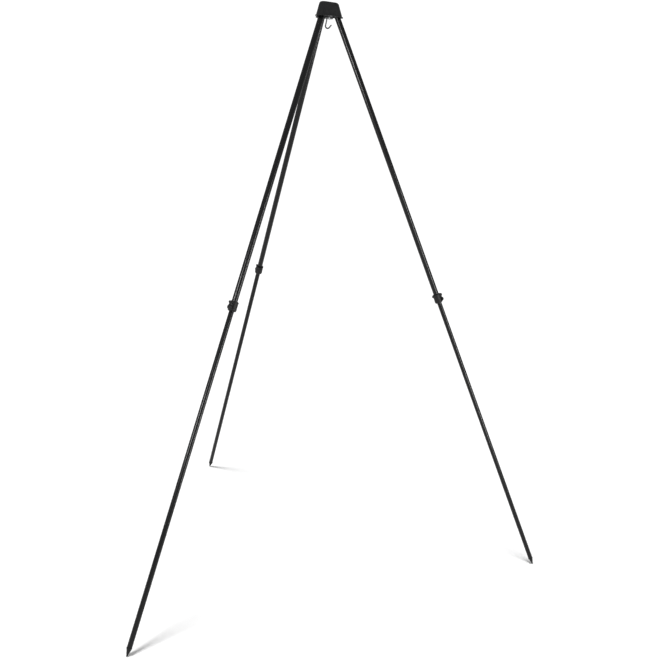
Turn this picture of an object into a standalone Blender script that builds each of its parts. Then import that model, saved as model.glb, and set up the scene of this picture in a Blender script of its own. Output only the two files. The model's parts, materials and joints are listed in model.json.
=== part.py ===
"""Hanging tripod: three telescopic spiked legs hinged under a moulded head, with a swivel hook.

Metres, +Z up. The origin is on the ground under the middle of the tripod's box. Each leg is
modelled in its own leg frame: origin on the pivot bolt, -Z down the leg, +X away from the
tripod's axis, +Y along the pivot bolt. The head is modelled in a head frame at pivot height.
"""
import math

import bmesh
import bpy
from mathutils import Matrix, Vector

MM = 0.001
GAP = 0.3 * MM                       # air between pieces that touch
THROUGH = 60.0 * MM                  # a cutter that goes right through
EASE = 1.0 * MM                      # small turned chamfer

# --- driving dimensions -----------------------------------------------------------------------
LEG_AZIMUTHS = (90.0, 210.0, 330.0)  # degrees, legs 1, 2 and 3
SPREAD = math.radians(24.24)         # leg angle from upright with the tripod open
LEG_LENGTH = 2211.0 * MM             # pivot bolt to the centre of the spike's nib
PIVOT_RADIUS = 29.5 * MM             # pivot bolt to the tripod's axis
NIB_RADIUS = 2.0 * MM

UPPER_OD = 20.0 * MM
LOWER_OD = 17.0 * MM
TUBE_WALL = 1.2 * MM
CLAMP_CENTRE = 1075.5 * MM           # pivot bolt to the middle of the clamp collar
TUBE_OVERLAP = 90.0 * MM             # lower tube above the collar's lower end, leg fully out

CAP_TOP = 33.0 * MM                  # head cap above and below the pivot bolts
CAP_RIM = -16.5 * MM
CAP_WALL = 2.5 * MM
CAP_TOP_CORNER = (19.0 * MM, 18.0 * MM)   # corner centre from the axis, corner radius
CAP_RIM_CORNER = (33.0 * MM, 21.5 * MM)
CAP_EDGE_ROUND = 7.0 * MM
CAP_FLANK = 8.0 * MM                 # straight part of the faces starts here
CAP_ARCH = 2.0 * MM                  # rise of the rim's arch between two legs
ARCH_REACH = 24.0 * MM               # height above the rim where the arch has died out
LIP_OUT = 2.8 * MM
LIP_HEIGHT = 3.0 * MM
FACE_DISH = 1.0 * MM                 # how far the three faces are hollowed

EAR_INNER = 6.3 * MM                 # clevis ear faces from the leg's middle plane
EAR_OUTER = 10.3 * MM
EAR_RADIUS = 8.5 * MM
EAR_ROOT = (8.0 * MM, 15.0 * MM, -10.0 * MM)   # inside the core: from the axis, top, bottom
CORE_RADIUS = 16.0 * MM
CORE_TOP = 18.0 * MM
CORE_BOTTOM = -12.0 * MM
FLANGE_CORNER = (20.5 * MM, 11.0 * MM)         # between the legs: centre from the axis, radius
FLANGE_DISH = 4.5 * MM               # its sides are hollowed to clear the folded legs
FLANGE_TOP = -9.0 * MM
FLANGE_BOTTOM = -16.5 * MM
FLANGE_RECESS = 8.5 * MM             # radius of the well round the hook's washer and nut
BASE_PAD = (0.6 * MM, 3.0 * MM)      # the pad under the flange: its inset and thickness
STOP_FACE = 19.0 * MM                # the knuckle's heel meets the block here, leg spread

BOLT_RADIUS = 2.5 * MM
BOLT_HEAD = (4.6 * MM, 3.0 * MM)     # hexagon: corner radius, height
BOLT_NUT = (4.6 * MM, 4.0 * MM)
RIVET_RADIUS = 1.5 * MM
RIVET_DOME = (2.7 * MM, 0.7 * MM)    # radius, height
SCREW_RADIUS = 1.3 * MM
SCREW_LENGTH = 7.7 * MM
SCREW_HEAD = (2.6 * MM, 1.6 * MM)
RUNNING = 0.15 * MM                  # radial clearance of a turning joint

KNUCKLE_WIDTH = 12.0 * MM
KNUCKLE_RADIUS = 7.5 * MM
HEEL = 8.0 * MM
SHOULDER = (-12.0 * MM, -15.0 * MM)
PLUG_END = -45.0 * MM
RIVET_DROP = -30.0 * MM

COLLAR_LENGTH = 33.0 * MM
COLLAR_RADIUS = 15.0 * MM
COLLAR_EDGE = 1.2 * MM
COLLAR_FOOT = (5.0 * MM, 1.4 * MM)   # the foot's height, and how far it is drawn in
SCREW_BOSS = (4.2 * MM, 1.6 * MM)    # round the collar's screw: radius, height
COLLAR_LEDGE = 8.2 * MM              # lower tube's guide length under the upper tube's end
PIN_OUT = 17.0 * MM                  # lever pin from the leg's axis
PIN_Z = 11.0 * MM                    # lever pin above the collar's middle
PIN_RADIUS = 1.5 * MM
CAM_RADIUS = 3.4 * MM
CAM_THROW = 0.3 * MM
LUG_RADIUS = 3.3 * MM
LUG_INNER = 6.0 * MM
LUG_OUTER = 8.2 * MM
LUG_ROOT = (5.2 * MM, -8.0 * MM)     # above and below the pin, where it grows out of the collar
WINDOW_HEIGHT = 9.0 * MM
PAD_HALF = 3.3 * MM
PAD_INNER = 6.0 * MM
LEVER_INSIDE = 15.35 * MM            # the lever's radii from the leg's axis: inside,
LEVER_HUB = 19.0 * MM                # outside at the pin,
LEVER_WAIST = (17.2 * MM, -9.0 * MM)         # and outside at the waist, with its place from the pin
LOBE_CENTRE = (13.3 * MM, -17.0 * MM)        # the thumb lobe's round: from the leg's axis, from the pin
LOBE_RADIUS = 7.6 * MM
LOBE_ARC = (58.0, -60.0)             # degrees, from the waist round to the tip
WING_TOP = -6.6 * MM                 # the band is as wide as its wings from here down
WING_HALF = 9.5 * MM
LEVER_SIDES = 72                     # facets round the lever's full circle

SPIKE_SHOULDER = 4.0 * MM
SPIKE_CONE = 23.0 * MM
SPIKE_SPIGOT = 20.0 * MM
SPIKE_STEP = 0.6 * MM                # the shoulder outside the lower tube
BUSH_HEAD = 3.0 * MM
BUSH_SPIGOT = 15.0 * MM

WIRE_RADIUS = 2.5 * MM
HOOK_AZIMUTH = -50.0                 # degrees, the way the hook's mouth faces
BOWL_CENTRE = (4.7 * MM, -45.0 * MM)
BOWL_RADIUS = 8.4 * MM
BOWL_END = 320.0                     # degrees round the bowl where the tip runs off straight
HOOK_TIP = 12.0 * MM
HOOK_NECK = -21.0 * MM
HOOK_TOP = 25.0 * MM
WASHER_RADIUS = 7.5 * MM
WASHER_THICK = 1.2 * MM
HOOK_NUT = (6.35 * MM, 6.0 * MM)     # hexagon: corner radius, height
LOCK_NUT = (4.6 * MM, 4.5 * MM)

CAP_SCREW_RADIUS = 1.5 * MM
CAP_SCREW_CIRCLE = 17.5 * MM
CAP_SCREW_END = 28.2 * MM            # its tip, in the cap's boss
CAP_SCREW_HEAD = (3.2 * MM, 2.2 * MM)
BOSS_RADIUS = 3.6 * MM
BOSS_BOTTOM = 20.3 * MM
PILLAR_RADIUS = 5.0 * MM
PILLAR_TOP = 20.0 * MM

# --- sizes that follow ------------------------------------------------------------------------
PIVOT_HEIGHT = LEG_LENGTH * math.cos(SPREAD) + NIB_RADIUS
FOOT_RADIUS = PIVOT_RADIUS + LEG_LENGTH * math.sin(SPREAD)
AXIS_Y = -FOOT_RADIUS / 4            # puts the origin under the middle of the three feet's box
UPPER_R = UPPER_OD / 2
LOWER_R = LOWER_OD / 2
UPPER_BORE = UPPER_R - TUBE_WALL
LOWER_BORE = LOWER_R - TUBE_WALL
UPPER_TOP = SHOULDER[1] - GAP
COLLAR_HALF = COLLAR_LENGTH / 2
COLLAR_SCREW_Z = 11 * MM             # in the clamp frame, whose origin is the collar's middle
UPPER_END = -CLAMP_CENTRE - COLLAR_HALF + COLLAR_LEDGE + GAP
BASE_BOTTOM = FLANGE_BOTTOM - GAP - BASE_PAD[1]
COLLAR_SCREW_SEAT = -COLLAR_RADIUS - SCREW_BOSS[1] - GAP
WINDOW_HALF = LUG_INNER - 0.2 * MM   # the collar's window, just inside the lugs
CAM_WIDTH = 2 * (WINDOW_HALF - GAP)
LOWER_TOP = -CLAMP_CENTRE - COLLAR_HALF + TUBE_OVERLAP
SPIKE_TOP = -LEG_LENGTH + SPIKE_CONE + SPIKE_SHOULDER
LOWER_END = SPIKE_TOP + GAP

ROUND = 24                           # facets around a tube
SMALL_ROUND = 16                     # facets around a bolt, pin or bore


# --- scene and materials ----------------------------------------------------------------------
def clear_scene():
    for thing in list(bpy.data.objects):
        bpy.data.objects.remove(thing, do_unlink=True)


def collection(name):
    made = bpy.data.collections.new(name)
    bpy.context.scene.collection.children.link(made)
    return made


def material(name, colour, roughness, metallic):
    made = bpy.data.materials.new(name)
    made.use_nodes = True
    shader = made.node_tree.nodes["Principled BSDF"]
    shader.inputs["Base Color"].default_value = (*colour, 1.0)
    shader.inputs["Roughness"].default_value = roughness
    shader.inputs["Metallic"].default_value = metallic
    made.diffuse_color = (*colour, 1.0)
    return made


# --- shape helpers: each returns an object at the origin of the frame it is modelled in ---------
def mesh_object(name, mesh, home):
    made = bpy.data.objects.new(name, mesh)
    home.objects.link(made)
    return made


def bmesh_object(name, bm, home):
    mesh = bpy.data.meshes.new(name)
    bmesh.ops.recalc_face_normals(bm, faces=bm.faces)
    bm.to_mesh(mesh)
    bm.free()
    return mesh_object(name, mesh, home)


def prism(radius, length, middle, direction="Z", sides=SMALL_ROUND):
    """A round or hexagonal bar of this radius (to its corners), centred on middle."""
    bm = bmesh.new()
    lay = {"X": Matrix.Rotation(math.pi / 2, 4, "Y"),
           "Y": Matrix.Rotation(-math.pi / 2, 4, "X"),
           "Z": Matrix.Identity(4)}[direction]
    bmesh.ops.create_cone(bm, cap_ends=True, segments=sides, radius1=radius, radius2=radius,
                          depth=length, matrix=Matrix.Translation(middle) @ lay)
    return bmesh_object("prism", bm, TOOLS)


def block(low, high):
    """A box between two corners."""
    bm = bmesh.new()
    size = Vector(high) - Vector(low)
    middle = (Vector(high) + Vector(low)) / 2
    bmesh.ops.create_cube(bm, size=1.0, matrix=Matrix.Translation(middle) @ Matrix.Diagonal((*size, 1)))
    return bmesh_object("block", bm, TOOLS)


def turned(profile, closed=False, sides=ROUND):
    """A profile of (radius, z) points spun about Z. It runs down the outer side, top to bottom."""
    mesh = bpy.data.meshes.new("turned")
    count = len(profile)
    edges = [(i, i + 1) for i in range(count - 1)]
    if closed:
        edges.append((count - 1, 0))
    mesh.from_pydata([(r, 0.0, z) for r, z in profile], edges, [])
    made = mesh_object("turned", mesh, TOOLS)
    screw = made.modifiers.new("spin", "SCREW")
    screw.axis = "Z"
    screw.angle = math.tau
    screw.steps = sides
    screw.render_steps = sides
    screw.use_merge_vertices = True
    screw.merge_threshold = 0.00001
    return made


def extruded(outline, width):
    """A flat (x, z) outline given width along Y, centred on the XZ plane."""
    curve = bpy.data.curves.new("outline", "CURVE")
    curve.dimensions = "2D"
    curve.fill_mode = "BOTH"
    curve.extrude = width / 2
    spline = curve.splines.new("POLY")
    spline.points.add(len(outline) - 1)
    for point, (x, z) in zip(spline.points, outline):
        point.co = (x, z, 0.0, 1.0)
    spline.use_cyclic_u = True
    made = bpy.data.objects.new("extruded", curve)
    TOOLS.objects.link(made)
    made.matrix_world = Matrix.Rotation(math.pi / 2, 4, "X")
    return as_mesh(made)


def as_mesh(curve_object):
    """The curve's welded mesh, with the curve's own placing worked in."""
    bpy.context.view_layer.update()
    graph = bpy.context.evaluated_depsgraph_get()
    mesh = bpy.data.meshes.new_from_object(curve_object.evaluated_get(graph))
    bm = bmesh.new()
    bm.from_mesh(mesh)
    bmesh.ops.transform(bm, matrix=curve_object.matrix_world, verts=bm.verts)
    bmesh.ops.remove_doubles(bm, verts=bm.verts, dist=0.00001)
    bpy.data.objects.remove(curve_object, do_unlink=True)
    return bmesh_object("solid", bm, TOOLS)


def combine(base, operation, *others):
    """Boolean each other solid into base, or out of it."""
    for other in others:
        step = base.modifiers.new(operation.lower(), "BOOLEAN")
        step.operation = operation
        step.solver = "EXACT"
        step.object = other
        other.hide_render = True
        other.display_type = "WIRE"
    return base


def finished(built):
    """The evaluated mesh of a built solid, smooth on its round faces."""
    bpy.context.view_layer.update()
    graph = bpy.context.evaluated_depsgraph_get()
    mesh = bpy.data.meshes.new_from_object(built.evaluated_get(graph))
    bm = bmesh.new()
    bm.from_mesh(mesh)
    bmesh.ops.remove_doubles(bm, verts=bm.verts, dist=0.000005)
    bmesh.ops.dissolve_degenerate(bm, dist=0.000005, edges=bm.edges)
    bm.to_mesh(mesh)
    bm.free()
    mesh.shade_smooth()
    mesh.set_sharp_from_angle(angle=math.radians(35))
    return mesh


def arc(centre, radius, start, stop, steps):
    """Points on a circle between two angles in degrees, both ends included."""
    angles = [math.radians(start + (stop - start) * i / steps) for i in range(steps + 1)]
    return [(centre[0] + radius * math.cos(a), centre[1] + radius * math.sin(a)) for a in angles]


# --- placing ----------------------------------------------------------------------------------
def empty(name, matrix):
    made = bpy.data.objects.new(name, None)
    PART.objects.link(made)
    made.matrix_world = matrix
    return made


def place(name, mesh, parent, look):
    """One node: the shared mesh in its own object, sitting at its parent's frame."""
    if look.name not in mesh.materials:
        mesh.materials.clear()
        mesh.materials.append(look)
    made = mesh_object(name, mesh, PART)
    made.parent = parent
    return made


# --- the head ---------------------------------------------------------------------------------
def rounded_triangle(corner_centre, corner_radius, dish, z, rise=0.0):
    """One level of the cap: corners over the legs, the sides' middles hollowed and raised."""
    corner_steps = 6
    side_steps = 6
    points = []
    for azimuth in LEG_AZIMUTHS:
        middle = Vector((math.cos(math.radians(azimuth)), math.sin(math.radians(azimuth)))) * corner_centre
        for x, y in arc(middle, corner_radius, azimuth - 60, azimuth + 60, corner_steps):
            points.append(Vector((x, y, z)))
        last = points[-1]
        following = math.radians(azimuth + 120)
        turn_start = math.radians(azimuth + 60)
        start_next = Vector((math.cos(following), math.sin(following), 0)) * corner_centre
        first_next = start_next + Vector((math.cos(turn_start), math.sin(turn_start), 0)) * corner_radius
        first_next.z = z
        normal = Vector((math.cos(turn_start), math.sin(turn_start), 0))
        for i in range(1, side_steps):
            swell = math.sin(math.pi * i / side_steps) ** 2
            points.append(last.lerp(first_next, i / side_steps) - normal * dish * swell)
            points[-1].z += rise * swell
    return points


def lofted(levels):
    """A closed solid through rings of points, each ring with the same count."""
    bm = bmesh.new()
    rings = [[bm.verts.new(point) for point in level] for level in levels]
    count = len(rings[0])
    for ring, following in zip(rings, rings[1:]):
        for i in range(count):
            j = (i + 1) % count
            bm.faces.new((ring[i], ring[j], following[j], following[i]))
    bm.faces.new(rings[0])
    bm.faces.new(rings[-1])
    return bmesh_object("loft", bm, TOOLS)


def cap_level(z, inset, dish):
    """The cap's outline at height z, drawn in by inset; near the rim its sides arch up."""
    along = (CAP_TOP - z) / (CAP_TOP - CAP_RIM)
    centre = CAP_TOP_CORNER[0] + (CAP_RIM_CORNER[0] - CAP_TOP_CORNER[0]) * along
    radius = CAP_TOP_CORNER[1] + (CAP_RIM_CORNER[1] - CAP_TOP_CORNER[1]) * along
    rise = CAP_ARCH * max(0.0, 1 - (z - CAP_RIM) / ARCH_REACH)
    return rounded_triangle(centre, radius - inset, dish, z, rise)


def cap_shell():
    """The moulded cap: inside up from the rim's inner edge, then outside down, as one loft."""
    levels = []
    edge_steps = 4
    inner_top = CAP_TOP - CAP_WALL
    inner_round = CAP_EDGE_ROUND - CAP_WALL
    for i in range(edge_steps + 1):
        a = math.pi / 2 * i / edge_steps
        z = inner_top - inner_round * (1 - math.cos(a))
        levels.append(cap_level(z, CAP_WALL + inner_round * (1 - math.sin(a)), FACE_DISH * math.sin(a)))
    for z in (CAP_FLANK, CAP_RIM):
        levels.append(cap_level(z, CAP_WALL, FACE_DISH))
    lip_top = CAP_RIM + LIP_HEIGHT
    for z, inset in ((CAP_RIM, -LIP_OUT + 0.6 * MM), (CAP_RIM + 0.6 * MM, -LIP_OUT),
                     (lip_top - 0.6 * MM, -LIP_OUT), (lip_top, -LIP_OUT + 0.6 * MM),
                     (lip_top + 0.2 * MM, -0.4 * MM), (lip_top + 1.2 * MM, 0.0), (CAP_FLANK, 0.0)):
        levels.append(cap_level(z, inset, FACE_DISH))
    for i in range(edge_steps, -1, -1):
        a = math.pi / 2 * i / edge_steps
        z = CAP_TOP - CAP_EDGE_ROUND * (1 - math.cos(a))
        levels.append(cap_level(z, CAP_EDGE_ROUND * (1 - math.sin(a)), FACE_DISH * math.sin(a)))
    return lofted(levels)


def cap_screw_places():
    """The cap's three screws stand between the legs."""
    turns = [math.radians(azimuth + 60) for azimuth in LEG_AZIMUTHS]
    return [Vector((math.cos(a), math.sin(a), 0)) * CAP_SCREW_CIRCLE for a in turns]


def head_cap():
    bosses = []
    holes = []
    boss_top = CAP_TOP - CAP_WALL / 2
    hole_top = boss_top - 2.5 * MM
    for spot in cap_screw_places():
        up = Vector((0, 0, (boss_top + BOSS_BOTTOM) / 2))
        bosses.append(prism(BOSS_RADIUS, boss_top - BOSS_BOTTOM, spot + up, sides=12))
        hole_bottom = BOSS_BOTTOM - 2.0 * MM
        hole_middle = spot + Vector((0, 0, (hole_top + hole_bottom) / 2))
        holes.append(prism(CAP_SCREW_RADIUS + GAP, hole_top - hole_bottom, hole_middle, sides=12))
    cap = combine(cap_shell(), "UNION", *bosses)
    return finished(combine(cap, "DIFFERENCE", *holes))


def flange(bottom, top, inset=0.0):
    """A plate with a corner between each two legs: the cap's outline family turned half round."""
    centre, radius = FLANGE_CORNER
    made = lofted([rounded_triangle(centre, radius - inset, FLANGE_DISH, z) for z in (bottom, top)])
    made.data.transform(Matrix.Rotation(math.pi, 4, "Z"))
    return made


def screw_hole(spot):
    return prism(CAP_SCREW_RADIUS + GAP, 2 * THROUGH, spot, sides=12)


def base_pad():
    """The moulded pad under the hinge block's flange, open in the middle for the hook's nut."""
    inset, thick = BASE_PAD
    plate = flange(BASE_BOTTOM, BASE_BOTTOM + thick, inset)
    well = prism(FLANGE_RECESS, THROUGH, (0, 0, 0), sides=ROUND)
    return finished(combine(plate, "DIFFERENCE", well, *[screw_hole(spot) for spot in cap_screw_places()]))


def hinge_block():
    """The cast block under the cap: a core, three clevises, three screw pillars and a flange."""
    core = prism(CORE_RADIUS, CORE_TOP - CORE_BOTTOM, (0, 0, (CORE_TOP + CORE_BOTTOM) / 2), sides=30)
    clevises = []
    cuts = []
    root, high, low = EAR_ROOT
    for azimuth in LEG_AZIMUTHS:
        turn = Matrix.Rotation(math.radians(azimuth), 4, "Z")
        outline = [(root, low), *arc((PIVOT_RADIUS, 0), EAR_RADIUS, -95, 80, 8), (root, high)]
        clevis = extruded(outline, 2 * EAR_OUTER)
        slot = block((STOP_FACE, -EAR_INNER, -THROUGH), (THROUGH, EAR_INNER, THROUGH))
        bore = prism(BOLT_RADIUS + GAP / 2, THROUGH, (PIVOT_RADIUS, 0, 0), "Y")
        for piece in (clevis, slot, bore):
            piece.matrix_world = turn @ piece.matrix_world
        clevises.append(clevis)
        cuts += [slot, bore]
    pillars = []
    pillar_middle = Vector((0, 0, (PILLAR_TOP + FLANGE_BOTTOM) / 2))
    for spot in cap_screw_places():
        pillars.append(prism(PILLAR_RADIUS, PILLAR_TOP - FLANGE_BOTTOM - EASE, spot + pillar_middle))
        cuts.append(screw_hole(spot))
    cuts.append(prism(WIRE_RADIUS + GAP, THROUGH, (0, 0, 0)))
    cuts.append(prism(FLANGE_RECESS, THROUGH, (0, 0, CORE_BOTTOM - THROUGH / 2), sides=ROUND))
    built = combine(core, "UNION", *clevises, flange(FLANGE_BOTTOM, FLANGE_TOP), *pillars)
    return finished(combine(built, "DIFFERENCE", *cuts))


def bolt(shank_radius, shank_length, head, sides=6):
    """Head (radius, height) above z = 0, shank below it."""
    head_radius, head_height = head
    top = prism(head_radius, head_height, (0, 0, head_height / 2), sides=sides)
    lap = head_height / 2
    shank = prism(shank_radius, shank_length + lap, (0, 0, (lap - shank_length) / 2))
    return combine(top, "UNION", shank)


def nut(size, bore_radius):
    """A hexagon nut (corner radius, height) standing on z = 0."""
    corner_radius, height = size
    body = prism(corner_radius, height, (0, 0, height / 2), sides=6)
    return combine(body, "DIFFERENCE", prism(bore_radius, height * 2, (0, 0, height / 2)))


def moved(built, matrix):
    """Turn and shift a finished mesh in its own frame."""
    built.transform(matrix)
    return built


# --- the leg, in the leg frame; the clamp's pieces in the clamp frame ---------------------------
def knuckle():
    """The plug in the upper tube's top, with the tongue that turns on the pivot bolt."""
    root = SHOULDER[0] - EASE
    outline = [(-KNUCKLE_RADIUS, root), (KNUCKLE_RADIUS, root),
               *arc((0, 0), KNUCKLE_RADIUS, 0, 80, 5), (0, HEEL), (-KNUCKLE_RADIUS + EASE, HEEL),
               (-KNUCKLE_RADIUS, HEEL - EASE)]
    tongue = extruded(outline, KNUCKLE_WIDTH)
    plug_r = UPPER_BORE - GAP
    plug = turned([(0, SHOULDER[0]), (UPPER_R - EASE, SHOULDER[0]), (UPPER_R, SHOULDER[0] - EASE),
                   (UPPER_R, SHOULDER[1]), (plug_r, SHOULDER[1]), (plug_r, PLUG_END + 2 * EASE),
                   (plug_r - EASE, PLUG_END), (0, PLUG_END)])
    built = combine(plug, "UNION", tongue)
    bore = prism(BOLT_RADIUS + RUNNING, THROUGH, (0, 0, 0), "Y")
    cross = prism(RIVET_RADIUS + GAP, THROUGH, (0, 0, RIVET_DROP), "Y")
    return finished(combine(built, "DIFFERENCE", bore, cross))


def knuckle_rivet():
    """A cross rivet through the tube and the plug, a shallow dome at each end."""
    seat = UPPER_R + GAP
    dome, rise = RIVET_DOME
    half = [(0, seat + rise), (dome * 0.55, seat + rise * 0.85), (dome * 0.9, seat + rise * 0.4),
            (dome, seat), (RIVET_RADIUS, seat)]
    profile = half + [(r, -y) for r, y in reversed(half)]
    mesh = finished(turned(profile, sides=16))
    return moved(mesh, Matrix.Translation((0, 0, RIVET_DROP)) @ Matrix.Rotation(-math.pi / 2, 4, "X"))


def tube(outer, bore, top, end):
    return turned([(outer, top), (outer, end), (bore, end), (bore, top)], closed=True)


def upper_tube():
    built = tube(UPPER_R, UPPER_BORE, UPPER_TOP, UPPER_END)
    cross = prism(RIVET_RADIUS + GAP, THROUGH, (0, 0, RIVET_DROP), "Y")
    half = PAD_HALF + GAP
    window_z = PIN_Z - CLAMP_CENTRE
    window = block((PAD_INNER, -half, window_z - half), (2 * UPPER_R, half, window_z + half))
    screw_z = COLLAR_SCREW_Z - CLAMP_CENTRE
    screw = prism(SCREW_RADIUS + GAP, UPPER_R, (-UPPER_R, 0, screw_z), "X")
    return finished(combine(built, "DIFFERENCE", cross, window, screw))


def clamp_collar():
    """The moulded collar on the upper tube's end, with the lever's two lugs and the pad's window."""
    wide = UPPER_R + GAP
    narrow = LOWER_R + GAP
    top = COLLAR_HALF
    ledge = COLLAR_LEDGE - top
    foot_height, foot_step = COLLAR_FOOT
    foot = COLLAR_RADIUS - foot_step
    profile = [(COLLAR_RADIUS - COLLAR_EDGE, top), (COLLAR_RADIUS, top - COLLAR_EDGE),
               (COLLAR_RADIUS, foot_height - top), (foot, COLLAR_EDGE - top), (foot - COLLAR_EDGE, -top),
               (narrow, -top), (narrow, ledge), (wide, ledge), (wide, top)]
    body = turned(profile, closed=True)
    root = wide + GAP
    high, low = LUG_ROOT
    outline = [(root, PIN_Z + low), *arc((PIN_OUT, PIN_Z), LUG_RADIUS, -45, 90, 6), (root, PIN_Z + high)]
    lugs = []
    for side in (-1, 1):
        lug = extruded(outline, LUG_OUTER - LUG_INNER)
        lug.location.y = side * (LUG_OUTER + LUG_INNER) / 2
        lugs.append(lug)
    tall = WINDOW_HEIGHT / 2
    window = block((0, -WINDOW_HALF, PIN_Z - tall), (THROUGH, WINDOW_HALF, PIN_Z + tall))
    pin_bore = prism(PIN_RADIUS + GAP / 2, THROUGH, (PIN_OUT, 0, PIN_Z), "Y")
    boss_radius, boss_height = SCREW_BOSS
    boss_middle = -(root + COLLAR_RADIUS + boss_height) / 2
    boss = prism(boss_radius, COLLAR_RADIUS + boss_height - root, (boss_middle, 0, COLLAR_SCREW_Z), "X")
    screw = prism(SCREW_RADIUS + GAP, THROUGH, (-THROUGH / 2, 0, COLLAR_SCREW_Z), "X")
    built = combine(body, "UNION", *lugs, boss)
    return finished(combine(built, "DIFFERENCE", window, pin_bore, screw))


def collar_screw():
    """The screw that holds the collar on the tube, on the side away from the lever."""
    mesh = finished(bolt(SCREW_RADIUS, SCREW_LENGTH, SCREW_HEAD, sides=SMALL_ROUND))
    turn = Matrix.Rotation(-math.pi / 2, 4, "Y")
    return moved(mesh, Matrix.Translation((COLLAR_SCREW_SEAT, 0, COLLAR_SCREW_Z)) @ turn)


def lever_pin():
    return finished(prism(PIN_RADIUS, 2 * (LUG_OUTER + GAP), (PIN_OUT, 0, PIN_Z), "Y"))


def brake_pad():
    """The pad that the cam presses on the lower tube through the upper tube's window."""
    cam_face = PIN_OUT - CAM_RADIUS - CAM_THROW - GAP
    body = block((PAD_INNER, -PAD_HALF, PIN_Z - PAD_HALF), (cam_face, PAD_HALF, PIN_Z + PAD_HALF))
    hollow = prism(LOWER_R + GAP, THROUGH, (0, 0, PIN_Z), sides=ROUND)
    return finished(combine(body, "DIFFERENCE", hollow))


def clamp_lever():
    """The cam lever, in a frame on its pin: a cam and neck between the lugs, a thumb lobe below.

    Neck and lobe are one band that curves round the collar.
    """
    lobe = arc(LOBE_CENTRE, LOBE_RADIUS, *LOBE_ARC, 8)
    tip_side, tip = lobe[-1]
    profile = [(LEVER_HUB, 0), LEVER_WAIST, *lobe, (tip_side - EASE, tip - EASE / 2),
               (LEVER_INSIDE, tip), (LEVER_INSIDE, 0)]
    band = turned(profile, closed=True, sides=LEVER_SIDES)
    band.location.x = -PIN_OUT
    neck_half = (CAM_WIDTH - GAP) / 2
    keep = combine(block((-PIN_OUT, -WING_HALF, -THROUGH), (THROUGH, WING_HALF, WING_TOP)),
                   "UNION", block((-PIN_OUT, -neck_half, -THROUGH / 2), (THROUGH / 2, neck_half, EASE)))
    cam = prism(CAM_RADIUS, CAM_WIDTH, (-CAM_THROW, 0, 0), "Y", sides=20)
    bore = prism(PIN_RADIUS + GAP, THROUGH, (0, 0, 0), "Y")
    return finished(combine(combine(cam, "UNION", combine(band, "INTERSECT", keep)), "DIFFERENCE", bore))


def lower_tube():
    return finished(tube(LOWER_R, LOWER_BORE, LOWER_TOP, LOWER_END))


def guide_bush():
    """The slide bush in the lower tube's top end; it also stops the lower tube from pulling out."""
    flange = UPPER_BORE - RUNNING
    spigot = LOWER_BORE - GAP
    base = LOWER_TOP + GAP
    top = base + BUSH_HEAD
    end = base - BUSH_SPIGOT
    return finished(turned([(0, top), (flange - EASE, top), (flange, top - EASE), (flange, base),
                            (spigot, base), (spigot, end + EASE), (spigot - EASE, end), (0, end)]))


def spike_foot():
    """The spike: a spigot in the lower tube, a shoulder, then a cone down to a round nib."""
    spigot = LOWER_BORE - GAP
    spigot_top = SPIKE_TOP + SPIKE_SPIGOT
    shoulder = LOWER_R + SPIKE_STEP
    tip = -LEG_LENGTH
    cone_top = tip + SPIKE_CONE
    nib = arc((0, tip), NIB_RADIUS, 0, -60, 2)
    return finished(turned([(0, spigot_top), (spigot - EASE, spigot_top), (spigot, spigot_top - EASE),
                            (spigot, SPIKE_TOP), (LOWER_R, SPIKE_TOP), (shoulder, SPIKE_TOP - SPIKE_STEP),
                            (shoulder, cone_top), (LOWER_R - SPIKE_STEP, cone_top - 2 * EASE), *nib,
                            (0, tip - NIB_RADIUS)]))


# --- the hook, in the head frame ----------------------------------------------------------------
def hook_route():
    """The wire's centre line in the hook's plane: shank, back, bowl, then the flared tip."""
    route = [(0, HOOK_TOP), (0, HOOK_NECK)]
    side = BOWL_CENTRE[0] - BOWL_RADIUS
    drop = HOOK_NECK - BOWL_CENTRE[1]
    bend_steps = 8
    for i in range(1, bend_steps):
        along = i / bend_steps
        route.append((side * (1 - math.cos(math.pi / 2 * along)) ** 0.8, HOOK_NECK - drop * along))
    route += arc(BOWL_CENTRE, BOWL_RADIUS, 180, BOWL_END, 14)
    a = math.radians(BOWL_END)
    end = route[-1]
    for i in (1, 2):
        step = HOOK_TIP * i / 2
        route.append((end[0] - math.sin(a) * step, end[1] + math.cos(a) * step))
    return route


def hook():
    curve = bpy.data.curves.new("wire", "CURVE")
    curve.dimensions = "3D"
    curve.bevel_depth = WIRE_RADIUS
    curve.bevel_resolution = 2
    curve.use_fill_caps = True
    route = hook_route()
    spline = curve.splines.new("POLY")
    spline.points.add(len(route) - 1)
    for point, (x, z) in zip(spline.points, route):
        point.co = (x, 0.0, z, 1.0)
    made = bpy.data.objects.new("wire", curve)
    TOOLS.objects.link(made)
    return finished(as_mesh(made))


def washer(radius, bore, top, thickness):
    return finished(turned([(radius, top), (radius, top - thickness), (bore, top - thickness), (bore, top)],
                           closed=True))


# --- assembly ---------------------------------------------------------------------------------
def build_head():
    head = empty("head_frame", Matrix.Translation((0, AXIS_Y, PIVOT_HEIGHT)))
    place("head_cap", head_cap(), head, CAP_PLASTIC)
    place("hinge_block", hinge_block(), head, CAST_ALLOY)
    place("base_pad", base_pad(), head, CAP_PLASTIC)
    head_drop = BASE_BOTTOM - GAP
    for number, spot in enumerate(cap_screw_places(), 1):
        length = CAP_SCREW_END - head_drop
        mesh = finished(bolt(CAP_SCREW_RADIUS, length, CAP_SCREW_HEAD, sides=SMALL_ROUND))
        flip = Matrix.Translation(spot + Vector((0, 0, head_drop))) @ Matrix.Rotation(math.pi, 4, "X")
        place(f"cap_screw_{number}", moved(mesh, flip), head, STEEL)
    return head


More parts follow.
